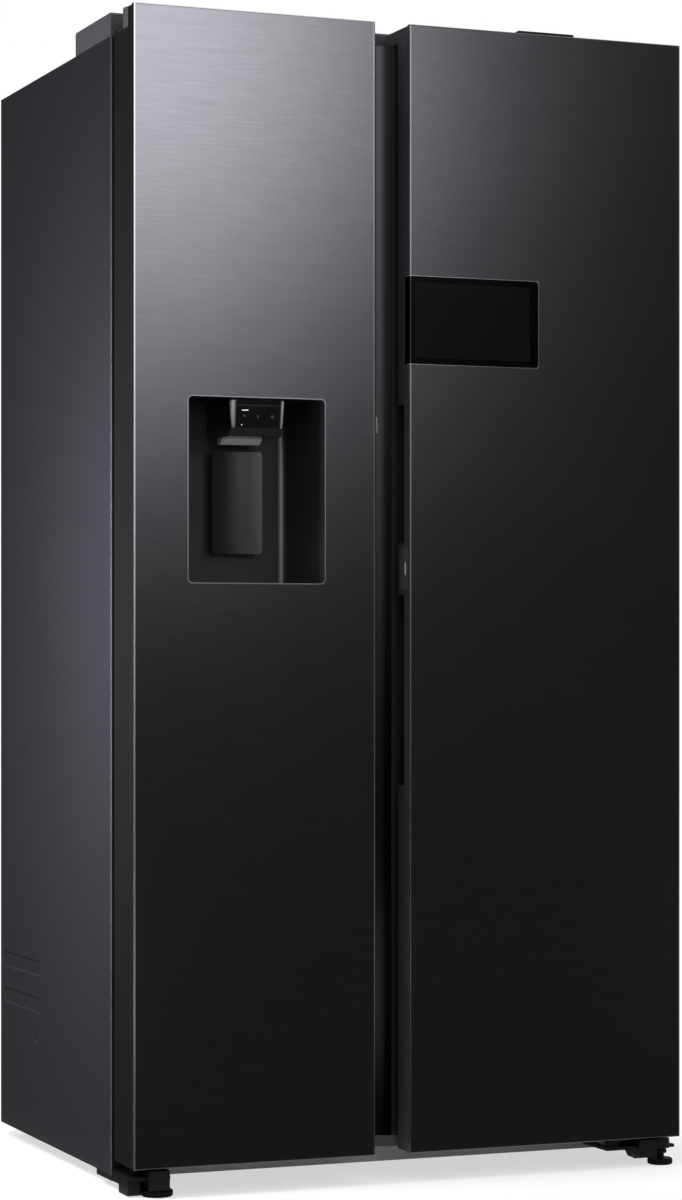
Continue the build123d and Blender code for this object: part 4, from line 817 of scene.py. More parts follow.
@dataclass(frozen=True)
class RawMetal(Finish):
    """Bare or zinc-coated metal with a patchy, spangled surface."""

    patch: float = 90.0
    colour_spread: float = 0.12
    patch_spread: float = 0.14
    scratch: Triple = (60.0, 60.0, 700.0)
    scratch_spread: float = 0.06
    scratch_depth: float = 0.008 * MM

    def shader(self, g: Graph) -> Value:
        """Spangle cells in colour and roughness, and fine scratches in the normal.

        Args:
            g: The graph that the nodes go into.

        Returns:
            The shader.
        """
        cells = g.add("ShaderNodeTexVoronoi", {}, {"Vector": g.place(), "Scale": self.patch}, "Color")
        tone = g.add("ShaderNodeSeparateColor", {}, {0: cells}, 0)
        scratch = g.noise(self.scratch)
        return self.principled(
            g,
            {
                "Base Color": self.shade(g, tone, self.colour_spread),
                "Metallic": 1.0,
                "Roughness": self.uneven(tone, self.patch_spread) + (scratch - 0.5) * self.scratch_spread,
                "Normal": g.bump(scratch, self.scratch_depth),
            },
        )


@dataclass(frozen=True)
class FoamedPlastic(Finish):
    """Rigid foam with open cells."""

    cells: float = 320.0
    colour_spread: float = 0.12
    depth: float = 0.3 * MM

    def shader(self, g: Graph) -> Value:
        """Cells in colour and height.

        Args:
            g: The graph that the nodes go into.

        Returns:
            The shader.
        """
        cells = g.add("ShaderNodeTexVoronoi", {}, {"Vector": g.place(), "Scale": self.cells})
        colour = self.shade(g, cells, self.colour_spread)
        return self.principled(g, {"Base Color": colour, "Normal": g.bump(cells, self.depth)})


@dataclass(frozen=True)
class Glow(Finish):
    """A lit mark or a lamp cover: a light colour that also shines a little."""

    strength: float = 1.0
    cloud: float = 60.0
    colour_spread: float = 0.08

    def shader(self, g: Graph) -> Value:
        """A slightly uneven glow.

        Args:
            g: The graph that the nodes go into.

        Returns:
            The shader.
        """
        tone = self.shade(g, g.noise((self.cloud,) * 3), self.colour_spread)
        return self.principled(
            g, {"Base Color": tone, "Emission Color": tone, "Emission Strength": self.strength}
        )


def finish_node(node: str, finish: Finish) -> None:
    """Give every material slot of a CAD node one finish.

    Args:
        node: The node's name.
        finish: The finish to use.
    """
    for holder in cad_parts[node].material_slots:
        holder.material = finish.material()
    LOG.info("finished node %s with %s", node, finish.name)


def finish_nodes(finishes: dict[str, Finish]) -> None:
    """Give each of several CAD nodes its own finish."""
    for node, finish in finishes.items():
        finish_node(node, finish)


def grid_faces(rows: int, columns: int, wrap_rows: bool, wrap_columns: bool) -> Array:
    """Quads of a grid of points.

    Face (i, j) joins points (i, j), (i+1, j), (i+1, j+1) and (i, j+1), counted round
    where the grid closes on itself.

    Args:
        rows: Number of points along the first parameter.
        columns: Number of points along the second.
        wrap_rows: Whether the last row joins the first.
        wrap_columns: Whether the last column joins the first.

    Returns:
        An array of point numbers, four to a face.
    """
    i, j = np.meshgrid(
        np.arange(rows - (not wrap_rows)), np.arange(columns - (not wrap_columns)), indexing="ij"
    )
    i, j = i.ravel(), j.ravel()
    ni, nj = (i + 1) % rows, (j + 1) % columns
    return np.stack([i * columns + j, ni * columns + j, ni * columns + nj, i * columns + nj], axis=1)


@dataclass
class Surface:
    """Points and faces of a piece while it is being worked out."""

    points: Array
    faces: Array

    @classmethod
    def grid(cls, points: Array, wrap_rows: bool = False, wrap_columns: bool = False) -> "Surface":
        """A surface from points in rows and columns.

        Args:
            points: Array of rows, columns and three coordinates.
            wrap_rows: Whether the last row joins the first.
            wrap_columns: Whether the last column joins the first.

        Returns:
            The surface.
        """
        rows, columns = points.shape[:2]
        return cls(points.reshape(-1, 3), grid_faces(rows, columns, wrap_rows, wrap_columns))

    @classmethod
    def rings(cls, flat: Array, depth: Array, wrap_rows: bool = False) -> "Surface":
        """A surface from rows of closed loops in the XZ plane.

        Args:
            flat: Array of rows, columns and two coordinates, X and Z.
            depth: Y of the points, one value for each row, each column or both.
            wrap_rows: Whether the last row joins the first.

        Returns:
            The surface.
        """
        y = np.broadcast_to(depth, flat.shape[:2])
        return cls.grid(np.stack([flat[..., 0], y, flat[..., 1]], axis=2), wrap_rows, True)

    @classmethod
    def joined(cls, parts: list["Surface"]) -> "Surface":
        """Several surfaces as one, with the faces of each counted on from the last.

        Args:
            parts: The surfaces to join.

        Returns:
            The one surface.
        """
        starts = np.cumsum([0] + [len(p.points) for p in parts[:-1]])
        faces = [p.faces + s for p, s in zip(parts, starts)]
        return cls(np.concatenate([p.points for p in parts]), np.concatenate(faces))

    def piece(
        self, name: str, body: str, slot: str, finish: Finish, replaced: tuple[str, ...] = ()
    ) -> bpy.types.Object:
        """Make the Blender object, weld its seams and poles, and put it on its body.

        Args:
            name: The piece's name.
            body: The CAD body that it rides on.
            slot: The record's material slot. Not used.
            finish: Its finish.
            replaced: CAD nodes that it stands for.

        Returns:
            The object.
        """
        mesh = bpy.data.meshes.new(name)
        mesh.from_pydata(self.points.tolist(), [], self.faces.tolist())
        work = bmesh.new()
        work.from_mesh(mesh)
        bmesh.ops.remove_doubles(work, verts=work.verts, dist=WELD)
        bmesh.ops.dissolve_degenerate(work, edges=work.edges, dist=THIN)
        bmesh.ops.recalc_face_normals(work, faces=work.faces)
        work.to_mesh(mesh)
        work.free()
        mesh.shade_smooth()
        mesh.set_sharp_from_angle(angle=SHARP)
        mesh.materials.append(finish.material())
        made = bpy.data.objects.new(name, mesh)
        bpy.context.scene.collection.objects.link(made)
        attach(made, body)
        if replaced:
            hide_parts(*replaced)
        LOG.info("made piece %s on %s with %d faces", name, body, len(mesh.polygons))
        return made


def rounded_loop(box: Box, radius: float, steps: int = 8) -> tuple[Array, Array]:
    """A closed rounded rectangle in the XZ plane.

    Each corner is a quarter circle: centre plus radius times (cos, sin) of an angle that
    runs on by a quarter turn from corner to corner.

    Args:
        box: Left, right, low and high limits.
        radius: Corner radius.
        steps: Points on each corner.

    Returns:
        The points and their outward normals, two columns each.
    """
    left, right, low, high = box
    turn = np.linspace(0, math.pi / 2, steps)
    centres = np.array(
        [(right - radius, high - radius), (left + radius, high - radius),
         (left + radius, low + radius), (right - radius, low + radius)]
    )
    angles = (turn[None, :] + np.arange(4)[:, None] * math.pi / 2).ravel()
    normals = np.stack([np.cos(angles), np.sin(angles)], axis=1)
    return np.repeat(centres, steps, axis=0) + radius * normals, normals


def swept_frame(box: Box, radius: float, profile: Array) -> Surface:
    """A closed profile carried round a rounded rectangle in the XZ plane.

    A profile point (out, y) lands at the loop point plus out times the loop's outward
    normal, at depth y.

    Args:
        box: Left, right, low and high limits of the loop.
        radius: Its corner radius.
        profile: Profile points, outward offset and depth.

    Returns:
        The closed surface.
    """
    loop, normals = rounded_loop(box, radius)
    flat = loop[:, None, :] + profile[None, :, :1] * normals[:, None, :]
    return Surface.rings(flat, profile[None, :, 1], True)


def tile(box: Box, radius: float, front: float, rise: float) -> Surface:
    """A low domed tile with a rounded outline, facing -Y.

    Ring k of the tile is the outline shrunk towards its centre by s_k, at depth front plus
    rise times s_k squared, so that it is flat in the middle and falls away at the rim.

    Args:
        box: Left, right, low and high limits.
        radius: Corner radius.
        front: Y of the middle of the tile.
        rise: How far the rim lies behind the middle.

    Returns:
        The surface, open at the back.
    """
    loop, _ = rounded_loop(box, radius)
    centre = np.array([(box[0] + box[1]) / 2, (box[2] + box[3]) / 2])
    share = np.linspace(0, 1, 6)
    flat = centre + share[:, None, None] * (loop - centre)[None]
    return Surface.rings(flat, (front + rise * share**2)[:, None])


def slab(box: Box, radius: float, front: float, back: float) -> Surface:
    """A flat plate with a rounded outline in the XZ plane, closed at both faces.

    Its rows are the centre and the outline at the front, then the outline and the centre at
    the back.

    Args:
        box: Left, right, low and high limits.
        radius: Corner radius.
        front: Y of the front face.
        back: Y of the back face.

    Returns:
        The closed surface.
    """
    loop, _ = rounded_loop(box, radius)
    centre = np.broadcast_to(loop.mean(axis=0), loop.shape)
    flat = np.stack([centre, loop, loop, centre])
    return Surface.rings(flat, np.array([front, front, back, back])[:, None])


def screw_head(x: float, z: float, seat: float, radius: float, high: float) -> Surface:
    """A low screw head with a cross recess, facing +Y.

    Over a polar grid the height is high times one minus the fourth power of r over the
    radius. The cross sinks it where the point lies near either of two diameters. Its half
    width, its reach and their soft edges are shares of the radius.

    Args:
        x: Its place along X.
        z: Its place along Z.
        seat: Y of the face that it sits on.
        radius: Its radius.
        high: Its height.

    Returns:
        The surface, open at the seat.
    """
    half, half_soft = 0.18, 0.06
    reach, reach_soft = 0.62, 0.08
    sink = 0.75
    turn = np.linspace(0, 2 * math.pi, 64, endpoint=False)
    r, a = np.meshgrid(np.linspace(0, 1, 15), turn, indexing="ij")
    u, v = r * np.cos(a), r * np.sin(a)
    arm = np.minimum(np.abs(u), np.abs(v))
    cross = np.clip((half - arm) / half_soft, 0, 1) * np.clip((reach - r) / reach_soft, 0, 1)
    height = high * (1 - r**4 - sink * cross)
    return Surface.grid(np.stack([x + radius * u, seat + height, z + radius * v], axis=2), False, True)


def thread(centre: Pair, low: float, high: float, radius: float, ridge: float, pitch: float) -> Surface:
    """A screw thread round an upright stem.

    A point at angle a and share v of one pitch lands at height low plus pitch times
    (a / 2 pi + v), and its radius rises from the stem to the ridge at v = 1/2 and back.

    Args:
        centre: The stem's place along X and Y.
        low: Where the thread starts.
        high: Where it ends.
        radius: The stem's radius.
        ridge: How far the thread stands out.
        pitch: Its height in one turn.

    Returns:
        The surface.
    """
    turns = (high - low) / pitch - 1
    a = np.linspace(0, 2 * math.pi * turns, int(turns * 40))[:, None]
    v = np.linspace(0, 1, 5)[None, :]
    r = np.broadcast_to(radius + ridge * (1 - np.abs(2 * v - 1)), (len(a), v.size))
    height = low + pitch * (a / (2 * math.pi) + v)
    return Surface.grid(np.stack([centre[0] + r * np.cos(a), centre[1] + r * np.sin(a), height], axis=2))


def bin_rim(box: Box, radius: float, top: float, bead: float) -> Surface:
    """A round bead along the rim of an open bin, on three sides.

    The path runs up one side, round two quarter circles and back down the other side. Each
    section is a circle across the path, drawn to a point at both ends.

    Args:
        box: Left, right, near and far limits of the path.
        radius: Radius of its two corners.
        top: Height of the middle of the bead.
        bead: Radius of the bead.

    Returns:
        The closed surface.
    """
    left, right, near, far = box
    turn = np.linspace(math.pi, 0, 16)
    normals = np.stack([np.cos(turn), np.sin(turn)], axis=1)
    on_left = turn[:, None] > math.pi / 2
    centres = np.where(on_left, (left + radius, far - radius), (right - radius, far - radius))
    ends = np.array([(left, near), (left, near)]), np.array([(right, near), (right, near)])
    path = np.concatenate([ends[0], centres + radius * normals, ends[1]])
    out = np.concatenate([[(-1, 0)] * 2, normals, [(1, 0)] * 2])
    size = np.full((len(path), 1), bead)
    size[[0, -1]] = 0.0
    a = np.linspace(0, 2 * math.pi, 12, endpoint=False)[None, :]
    across = size * np.cos(a)
    flat = path[:, None, :] + across[..., None] * out[:, None, :]
    return Surface.grid(np.stack([flat[..., 0], flat[..., 1], top + size * np.sin(a)], axis=2), False, True)


class Half(Enum):
    """The two halves of an outline: its upper side, and its lower side with both ends."""

    UPPER = 0
    LOWER = 1


def pressed_slope(box: Box, radius: float, side: float, deep: float, half: Half) -> Surface:
    """One half of the sloping border of a mark pressed into a side wall that faces along X.

    The outline lies in the YZ plane. Going inwards by a share s of the slope's width, the
    depth below the wall follows 3 s squared minus 2 s cubed, from a first share of the
    mark's depth on, so that the slope stays clear of the wall and of the mark's floor.

    Args:
        box: Limits along Y and Z.
        radius: Corner radius of the outline.
        side: X of the wall, whose sign says which way it faces.
        deep: Depth of the mark.
        half: Which half of the outline to follow.

    Returns:
        The surface.
    """
    loop, normals = rounded_loop(box, radius)
    middle = len(loop) // 2
    kept = np.arange(middle) if half is Half.UPPER else np.r_[middle - 1 : len(loop), 0]
    first, rest = 0.06, 0.86
    s = np.linspace(0, 1, 7)[:, None]
    flat = loop[None, kept] - (min(radius, SLOPE_WIDE) * s)[..., None] * normals[None, kept]
    depth = deep * (first + rest * (3 * s**2 - 2 * s**3))
    x = np.broadcast_to(side - math.copysign(1, side) * depth, flat.shape[:2])
    return Surface.grid(np.stack([x, flat[..., 0], flat[..., 1]], axis=2))


CASE_PAINT = CasePaint("case_paint", (0.0168, 0.0163, 0.0206), 0.36, specular=0.25)
# Painted shade and painted highlight for the upper and lower halves of the pressed marks' sloping borders.
STAMP_SHADE = SatinPaint("stamp_shade", (0.0100, 0.0097, 0.0125), 0.4, specular=0.2)
STAMP_HIGHLIGHT = SatinPaint("stamp_highlight", (0.0260, 0.0254, 0.0320), 0.4, specular=0.3)
BLACK_TRIM = Moulded("black_trim", (0.016, 0.016, 0.018), 0.55, specular=0.3)
DOOR_SIDE = Moulded("door_side", (0.0054, 0.0054, 0.0060), 0.6, specular=0.2)
GRIP_SIDE = GripBody("grip_side", (0.0050, 0.0050, 0.0055), 0.6, specular=0.2)
GRIP_CAP = ColourStep(
    "grip_cap", (0.046, 0.046, 0.051), 0.5, specular=0.3,
    axis=Axis.Z, limit=1779.0 * MM, beyond=(0.004, 0.004, 0.004),
)
# Painted shade: the cover's front face, in front of the limit, is painted darker than its top.
COVER_GREY = ColourStep(
    "cover_grey", (0.033, 0.033, 0.037), 0.6, specular=0.2,
    axis=Axis.Y, limit=-243.8 * MM, beyond=(0.060, 0.060, 0.068),
)
PLATE_GREY = Moulded("plate_grey", (0.080, 0.080, 0.087), 0.5, specular=0.4)
RIM_WHITE = Moulded("rim_white", (0.74, 0.75, 0.76), 0.4)
SCREW_ZINC = RawMetal("screw_zinc", (0.62, 0.62, 0.60), 0.3, colour_spread=0.05)
HINGE_PAINT = SatinPaint("hinge_paint", (0.0050, 0.0050, 0.0055), 0.55, specular=0.10)
KNUCKLE_PAINT = SatinPaint("knuckle_paint", (0.060, 0.060, 0.066), 0.45)
RAIL_GREY = RunnerPaint("rail_grey", (0.27, 0.27, 0.275), 0.45)
FRAME_PAINT = SatinPaint("frame_paint", (0.20, 0.20, 0.21), 0.45)
ZINC = RawMetal("zinc_sheet", (0.50, 0.51, 0.52), 0.42)
ALUMINIUM = RawMetal("coil_aluminium", (0.72, 0.73, 0.74), 0.35)
LINER_WHITE = Polished("liner_white", (0.80, 0.81, 0.82), 0.32)
SEAL_GREY = Moulded("seal_grey", (0.10, 0.10, 0.105), 0.65, texture=600.0)
BIN_CLEAR = ClearPlastic("bin_clear", (0.93, 0.96, 0.97), 0.04)
DRAWER_CLEAR = ClearPlastic("drawer_clear", (0.90, 0.94, 0.96), 0.12, haze=0.12)
RECESS_BLACK = Moulded("recess_black", (0.0130, 0.0130, 0.0142), 0.38, specular=0.14)
# The recess is painted paler towards its floor as painted light, darker higher up as painted shade.
TUB_BLACK = RecessPlastic(
    "tub_black", (0.0130, 0.0130, 0.0142), 0.38, specular=0.13, corner_x=(-180 * MM, -165 * MM),
    corner_y=(-245 * MM, -244 * MM), painted_light_z=(925 * MM, 1050 * MM),
)
PADDLE_GREY = Moulded("paddle_grey", (0.0050, 0.0050, 0.0054), 0.22, specular=0.38)
CONTROL_BLACK = EndBanded(
    "control_black", (0.0030, 0.0030, 0.0034), 0.12, specular=0.3, middle=-256.3 * MM,
    reach=(35.0 * MM, 44.0 * MM), turn=(-347.5 * MM, -343.0 * MM), face=(1153.0 * MM, 1193.5 * MM),
)
SPOUT_GREY = Moulded("spout_grey", (0.30, 0.30, 0.31), 0.45)
BEZEL_STEEL = BrushedSteel("bezel_steel", (0.17, 0.17, 0.18), 0.3, grain=0.1)
COMPRESSOR_BLACK = SatinPaint("compressor_black", (0.02, 0.02, 0.021), 0.35)
FOAM = FoamedPlastic("foam_cells", (0.72, 0.62, 0.38), 0.9)
VALVE_WHITE = Moulded("valve_white", (0.70, 0.70, 0.68), 0.45)
ROLLER_BLACK = Moulded("roller_black", (0.0020, 0.0020, 0.0022), 0.6, specular=0.08)
LAMP = Glow("lamp_cover", (0.9, 0.9, 0.86), 0.4, strength=0.8)
LIT_MARK = Glow("lit_mark", (0.50, 0.51, 0.54), 0.3, strength=0.7)
DIM_MARK = Glow("dim_mark", (0.012, 0.012, 0.013), 0.4, strength=0.2)
GRIP_MARK = Glow("grip_mark", (0.16, 0.16, 0.17), 0.4, strength=0.35)
PLATE_MARK = Glow("plate_mark", (0.30, 0.30, 0.31), 0.4, strength=1.1)


@dataclass(frozen=True)
class ClothLine:
    """A line on the floor that a dark cloth follows.

    The level starts to rise at the first of the two half widths and is full at the second.
    """

    foot: Pair
    heading: Pair
    half: Pair
    widening: float = 0.09


@dataclass(frozen=True)
class Cloth:
    """A dark cloth on the floor: its limits, the lines that it follows and its level on them."""

    name: str
    x: Pair
    y: Pair
    lines: tuple[ClothLine, ...]
    level: float


@dataclass(frozen=True)
class SoftGlow:
    """A glow on an upright card, with its place and its spread across and up the card."""

    centre: Pair
    spread: Pair
    peak: float


@dataclass(frozen=True)
class Card:
    """An upright card: the points of its plan line, its heights, its level and the glows on it."""

    name: str
    plan: tuple[Pair, ...]
    heights: tuple[float, ...]
    level: float
    glows: tuple[SoftGlow, ...] = ()


@dataclass(frozen=True)
class CurvedCard:
    """A card on an arc round the left front, brighter towards its top and in front of the doors."""

    centre: Pair = (0.3, -0.6)
    radius: float = 4.9
    turn: Pair = (0.02, 1.95)
    heights: tuple[float, ...] = (0.0, 2.0, 5.0)
    rise: Pair = (0.2, 3.0)
    front: Pair = (-1.6, 0.3)
    front_soft: float = 0.8
    front_gain: float = 3.2
    level: float = 2.0
    base: float = 0.08


@dataclass(frozen=True)
class Lamp:
    """A rectangular soft lamp: its place, the point that it faces, its size and its power."""

    name: str
    at: Triple
    aim: Triple
    size: Pair
    watts: float


CARD_Y = -5.5
CARD_LEVEL = 0.11
DOOR_LINE = ClothLine((0.0, -0.36), (0.396, -0.918), (0.42, 1.2))
EDGE_LINE = ClothLine((-0.456, -0.36), (-0.93, -0.37), (0.7, 1.6))
CASE_LINE = ClothLine((-0.456, 0.05), (-0.285, 0.959), (0.7, 2.0))


@dataclass
class Studio:
    """Floor, lamps, reflection cards and the camera at the photograph's place."""

    camera_at: Triple = (-1.9488, -4.8796, 0.8085)
    camera_turn: float = -21.966
    lens: float = 96.12
    sensor: float = 36.0
    shift: float = 0.04675
    reach: float = 200.0
    ambient: float = 0.80
    floor_half: float = 30.0
    floor_pale: float = 0.97
    floor_under: Pair = (0.456, 0.36)
    floor_fade: Pair = (0.02, 0.30)
    floor_least: float = 0.6
    cloth_high: float = 2 * MM
    glow_blue: float = 1.02
    left_card: CurvedCard = CurvedCard()
    cards: tuple[Card, ...] = (
        Card(
            "front_card", ((0.3, CARD_Y), (3.0, CARD_Y), (7.0, CARD_Y)), (0.0, 3.5, 7.0), CARD_LEVEL,
            (SoftGlow((1.26, 2.95), (0.73, 0.93), 9.7), SoftGlow((1.15, 1.93), (0.40, 0.56), 1.05)),
        ),
        Card("side_card", ((-3.0, 0.6), (-3.0, 4.0), (-3.0, 12.0), (0.4, 12.0)), (0.0, 4.0, 8.0), 0.06),
        Card("right_card", ((5.0, -3.0), (5.0, -0.2)), (0.0, 3.0), 0.6),
    )
    cloths: tuple[Cloth, ...] = (
        Cloth("front_cloth", (-5.0, 7.0), (CARD_Y, -0.40), (DOOR_LINE, EDGE_LINE), CARD_LEVEL),
        Cloth("side_cloth", (-5.0, -0.47), (-0.40, 12.0), (CASE_LINE, EDGE_LINE), 0.08),
    )
    lamps: tuple[Lamp, ...] = (
        Lamp("key", (1.0, -4.6, 3.0), (-0.2, -0.36, 1.0), (2.0, 2.0), 14.0),
        Lamp("side_glow", (-1.05, -0.33, 0.92), (-0.45, -0.20, 0.92), (0.2, 0.6), 19.5),
        Lamp("top_fill", (0.0, -0.5, 4.5), (0.0, 0.0, 0.0), (3.0, 3.0), 40.0),
    )

    def build(self) -> None:
        """Set up the whole studio."""
        bpy.context.scene.view_settings.view_transform = "Standard"
        self.add_camera()
        self.add_world()
        self.add_floor()
        self.add_left_card()
        for card in self.cards:
            self.add_card(card)
        for cloth in self.cloths:
            self.add_cloth(cloth)
        for lamp in self.lamps:
            self.add_lamp(lamp)

    def add_camera(self) -> None:
        """Make the camera, level and turned towards the left front corner."""
        data = bpy.data.cameras.new("camera")
        data.lens = self.lens
        data.sensor_width = self.sensor
        data.shift_y = self.shift
        data.clip_end = self.reach
        made = bpy.data.objects.new("camera", data)
        made.location = self.camera_at
        made.rotation_euler = (math.pi / 2, 0.0, math.radians(self.camera_turn))
        bpy.context.scene.collection.objects.link(made)
        bpy.context.scene.camera = made

    def add_world(self) -> None:
        """White to the eye, in gloss and through glass, and a plain soft level to everything else."""
        world = bpy.data.worlds.new("studio")
        bpy.context.scene.world = world
        world.use_nodes = True
        g = Graph(world.node_tree)
        level = g.mix(self.seen(g), (self.ambient,) * 3, WHITE)
        sky = g.add("ShaderNodeBackground", {}, {"Color": level, "Strength": 1.0})
        g.output(sky, "ShaderNodeOutputWorld")

    def seen(self, g: Graph) -> Value:
        """1 for rays from the eye, off gloss and through glass, and 0 for the rest.

        Args:
            g: The graph that the nodes go into.

        Returns:
            The value, 1 or 0.
        """
        eye = g.add("ShaderNodeLightPath", {}, {}, "Is Camera Ray")
        glossy = g.add("ShaderNodeLightPath", {}, {}, "Is Glossy Ray")
        return eye.most(glossy).most(g.add("ShaderNodeLightPath", {}, {}, "Is Transmission Ray"))

    def stage_sheet(self, name: str, points: Array) -> tuple[bpy.types.Object, Graph]:
        """Make a sheet of the studio from a grid of points, with an empty material graph.

        Args:
            name: The sheet's name.
            points: Its grid of points.

        Returns:
            The object and the graph of its material.
        """
        surface = Surface.grid(points)
        mesh = bpy.data.meshes.new(name)
        mesh.from_pydata(surface.points.tolist(), [], surface.faces.tolist())
        material = bpy.data.materials.new(name)
        material.use_nodes = True
        mesh.materials.append(material)
        made = bpy.data.objects.new(name, mesh)
        bpy.context.scene.collection.objects.link(made)
        return made, Graph(material.node_tree)

    def gloss_sheet(self, name: str, points: Array) -> Graph:
        """Make a sheet of the studio that only reflections show.

        Args:
            name: The sheet's name.
            points: Its grid of points.

        Returns:
            The graph of its material.
        """
        made, g = self.stage_sheet(name, points)
        made.visible_camera = False
        made.visible_diffuse = False
        made.visible_transmission = False
        made.visible_shadow = False
        return g

    def shine(self, g: Graph, level: Value, blue: float = 1.0) -> None:
        """Let a sheet shine at a level that changes over it, with its blue raised by a factor."""
        colour = g.add("ShaderNodeCombineXYZ", {}, {0: level, 1: level, 2: level * blue})
        g.output(g.add("ShaderNodeEmission", {}, {"Color": colour, "Strength": 1.0}))

    def flat(self, x: Array, y: Array, high: float) -> Array:
        """Grid of a level sheet at one height, over the given places along X and Y."""
        gx, gy = np.meshgrid(x, y, indexing="ij")
        return np.stack([gx, gy, np.full_like(gx, high)], axis=2)

    def upright(self, plan: Array, heights: Array) -> Array:
        """Grid of an upright sheet that follows the points of a plan line at each of the heights.

        Args:
            plan: Points of the plan line, as X and Y.
            heights: Heights of the sheet's rows.

        Returns:
            The grid.
        """
        shape = (len(plan), len(heights))
        columns = (plan[:, :1], plan[:, 1:], heights[None, :])
        return np.stack([np.broadcast_to(column, shape) for column in columns], axis=2)

    def add_floor(self) -> None:
        """A pale floor that keeps the shadow and turns into the white background further out."""
        u = np.linspace(-self.floor_half, self.floor_half, 3)
        _, g = self.stage_sheet("floor", self.flat(u, u, 0.0))
        pale = g.add("ShaderNodeBsdfDiffuse", {}, {"Color": (*(self.floor_pale,) * 3, 1.0)})
        white = g.add("ShaderNodeEmission", {}, {"Color": (*WHITE, 1.0), "Strength": 1.0})
        x, y = (g.along(axis).math("ABSOLUTE") for axis in (Axis.X, Axis.Y))
        out = (x - self.floor_under[0]).most(y - self.floor_under[1])
        far = out.rise(*self.floor_fade) * (1 - self.floor_least) + self.floor_least
        g.output(g.blend(far * self.seen(g), pale, white))

    def add_card(self, card: Card) -> None:
        """An upright card that only shows in reflections, with its soft glows.

        Each glow falls off as e to the minus (dx/sx) squared plus (dz/sz) squared from its centre.

        Args:
            card: The card to make.
        """
        g = self.gloss_sheet(card.name, self.upright(np.array(card.plan), np.array(card.heights)))
        if not card.glows:
            g.output(g.add("ShaderNodeEmission", {}, {"Color": (*WHITE, 1.0), "Strength": card.level}))
            return
        level = card.level
        for glow in card.glows:
            dx = (g.along(Axis.X) - glow.centre[0]) * (1 / glow.spread[0])
            dz = (g.along(Axis.Z) - glow.centre[1]) * (1 / glow.spread[1])
            level = math.e ** ((dx * dx + dz * dz) * -1.0) * glow.peak + level
        self.shine(g, level, self.glow_blue)

    def add_left_card(self) -> None:
        """The curved card, which the doors' rounded edges mirror.

        Its plan line is the centre minus the radius times (sin, cos) of an angle.
        """
        card = self.left_card
        turn = np.linspace(*card.turn, 10)
        plan = np.array(card.centre) - card.radius * np.stack([np.sin(turn), np.cos(turn)], axis=1)
        g = self.gloss_sheet("left_card", self.upright(plan, np.array(card.heights)))
        front = g.along(Axis.X).inside(*card.front, card.front_soft)
        level = g.along(Axis.Z).rise(*card.rise) * (card.level + front * card.front_gain) + card.base
        self.shine(g, level, self.glow_blue)

    def add_cloth(self, cloth: Cloth) -> None:
        """A dark cloth on the floor that only shows in reflections and fades into the pale floor.

        Its level rises to 1 with the distance from a line, less a small share of the distance
        along it, so that the dark part widens as it goes out.

        Args:
            cloth: The cloth to make.
        """
        points = self.flat(np.array(cloth.x), np.array(cloth.y), self.cloth_high)
        g = self.gloss_sheet(cloth.name, points)
        pale = None
        for line in cloth.lines:
            dx = g.along(Axis.X) - line.foot[0]
            dy = g.along(Axis.Y) - line.foot[1]
            along = dx * line.heading[0] + dy * line.heading[1]
            across = (dx * line.heading[1] - dy * line.heading[0]).math("ABSOLUTE")
            share = (across - along * line.widening).rise(*line.half)
            pale = share if pale is None else pale.least(share)
        self.shine(g, pale * (1 - cloth.level) + cloth.level)

    def add_lamp(self, lamp: Lamp) -> None:
        """A lamp that lights the object and shows neither to the eye nor in reflections.

        Args:
            lamp: The lamp to make.
        """
        data = bpy.data.lights.new(lamp.name, "AREA")
        data.shape = "RECTANGLE"
        data.size, data.size_y = lamp.size
        data.energy = lamp.watts
        made = bpy.data.objects.new(lamp.name, data)
        made.location = lamp.at
        made.rotation_euler = (Vector(lamp.aim) - Vector(lamp.at)).to_track_quat("-Z", "Y").to_euler()
        made.visible_glossy = False
        made.visible_camera = False
        bpy.context.scene.collection.objects.link(made)


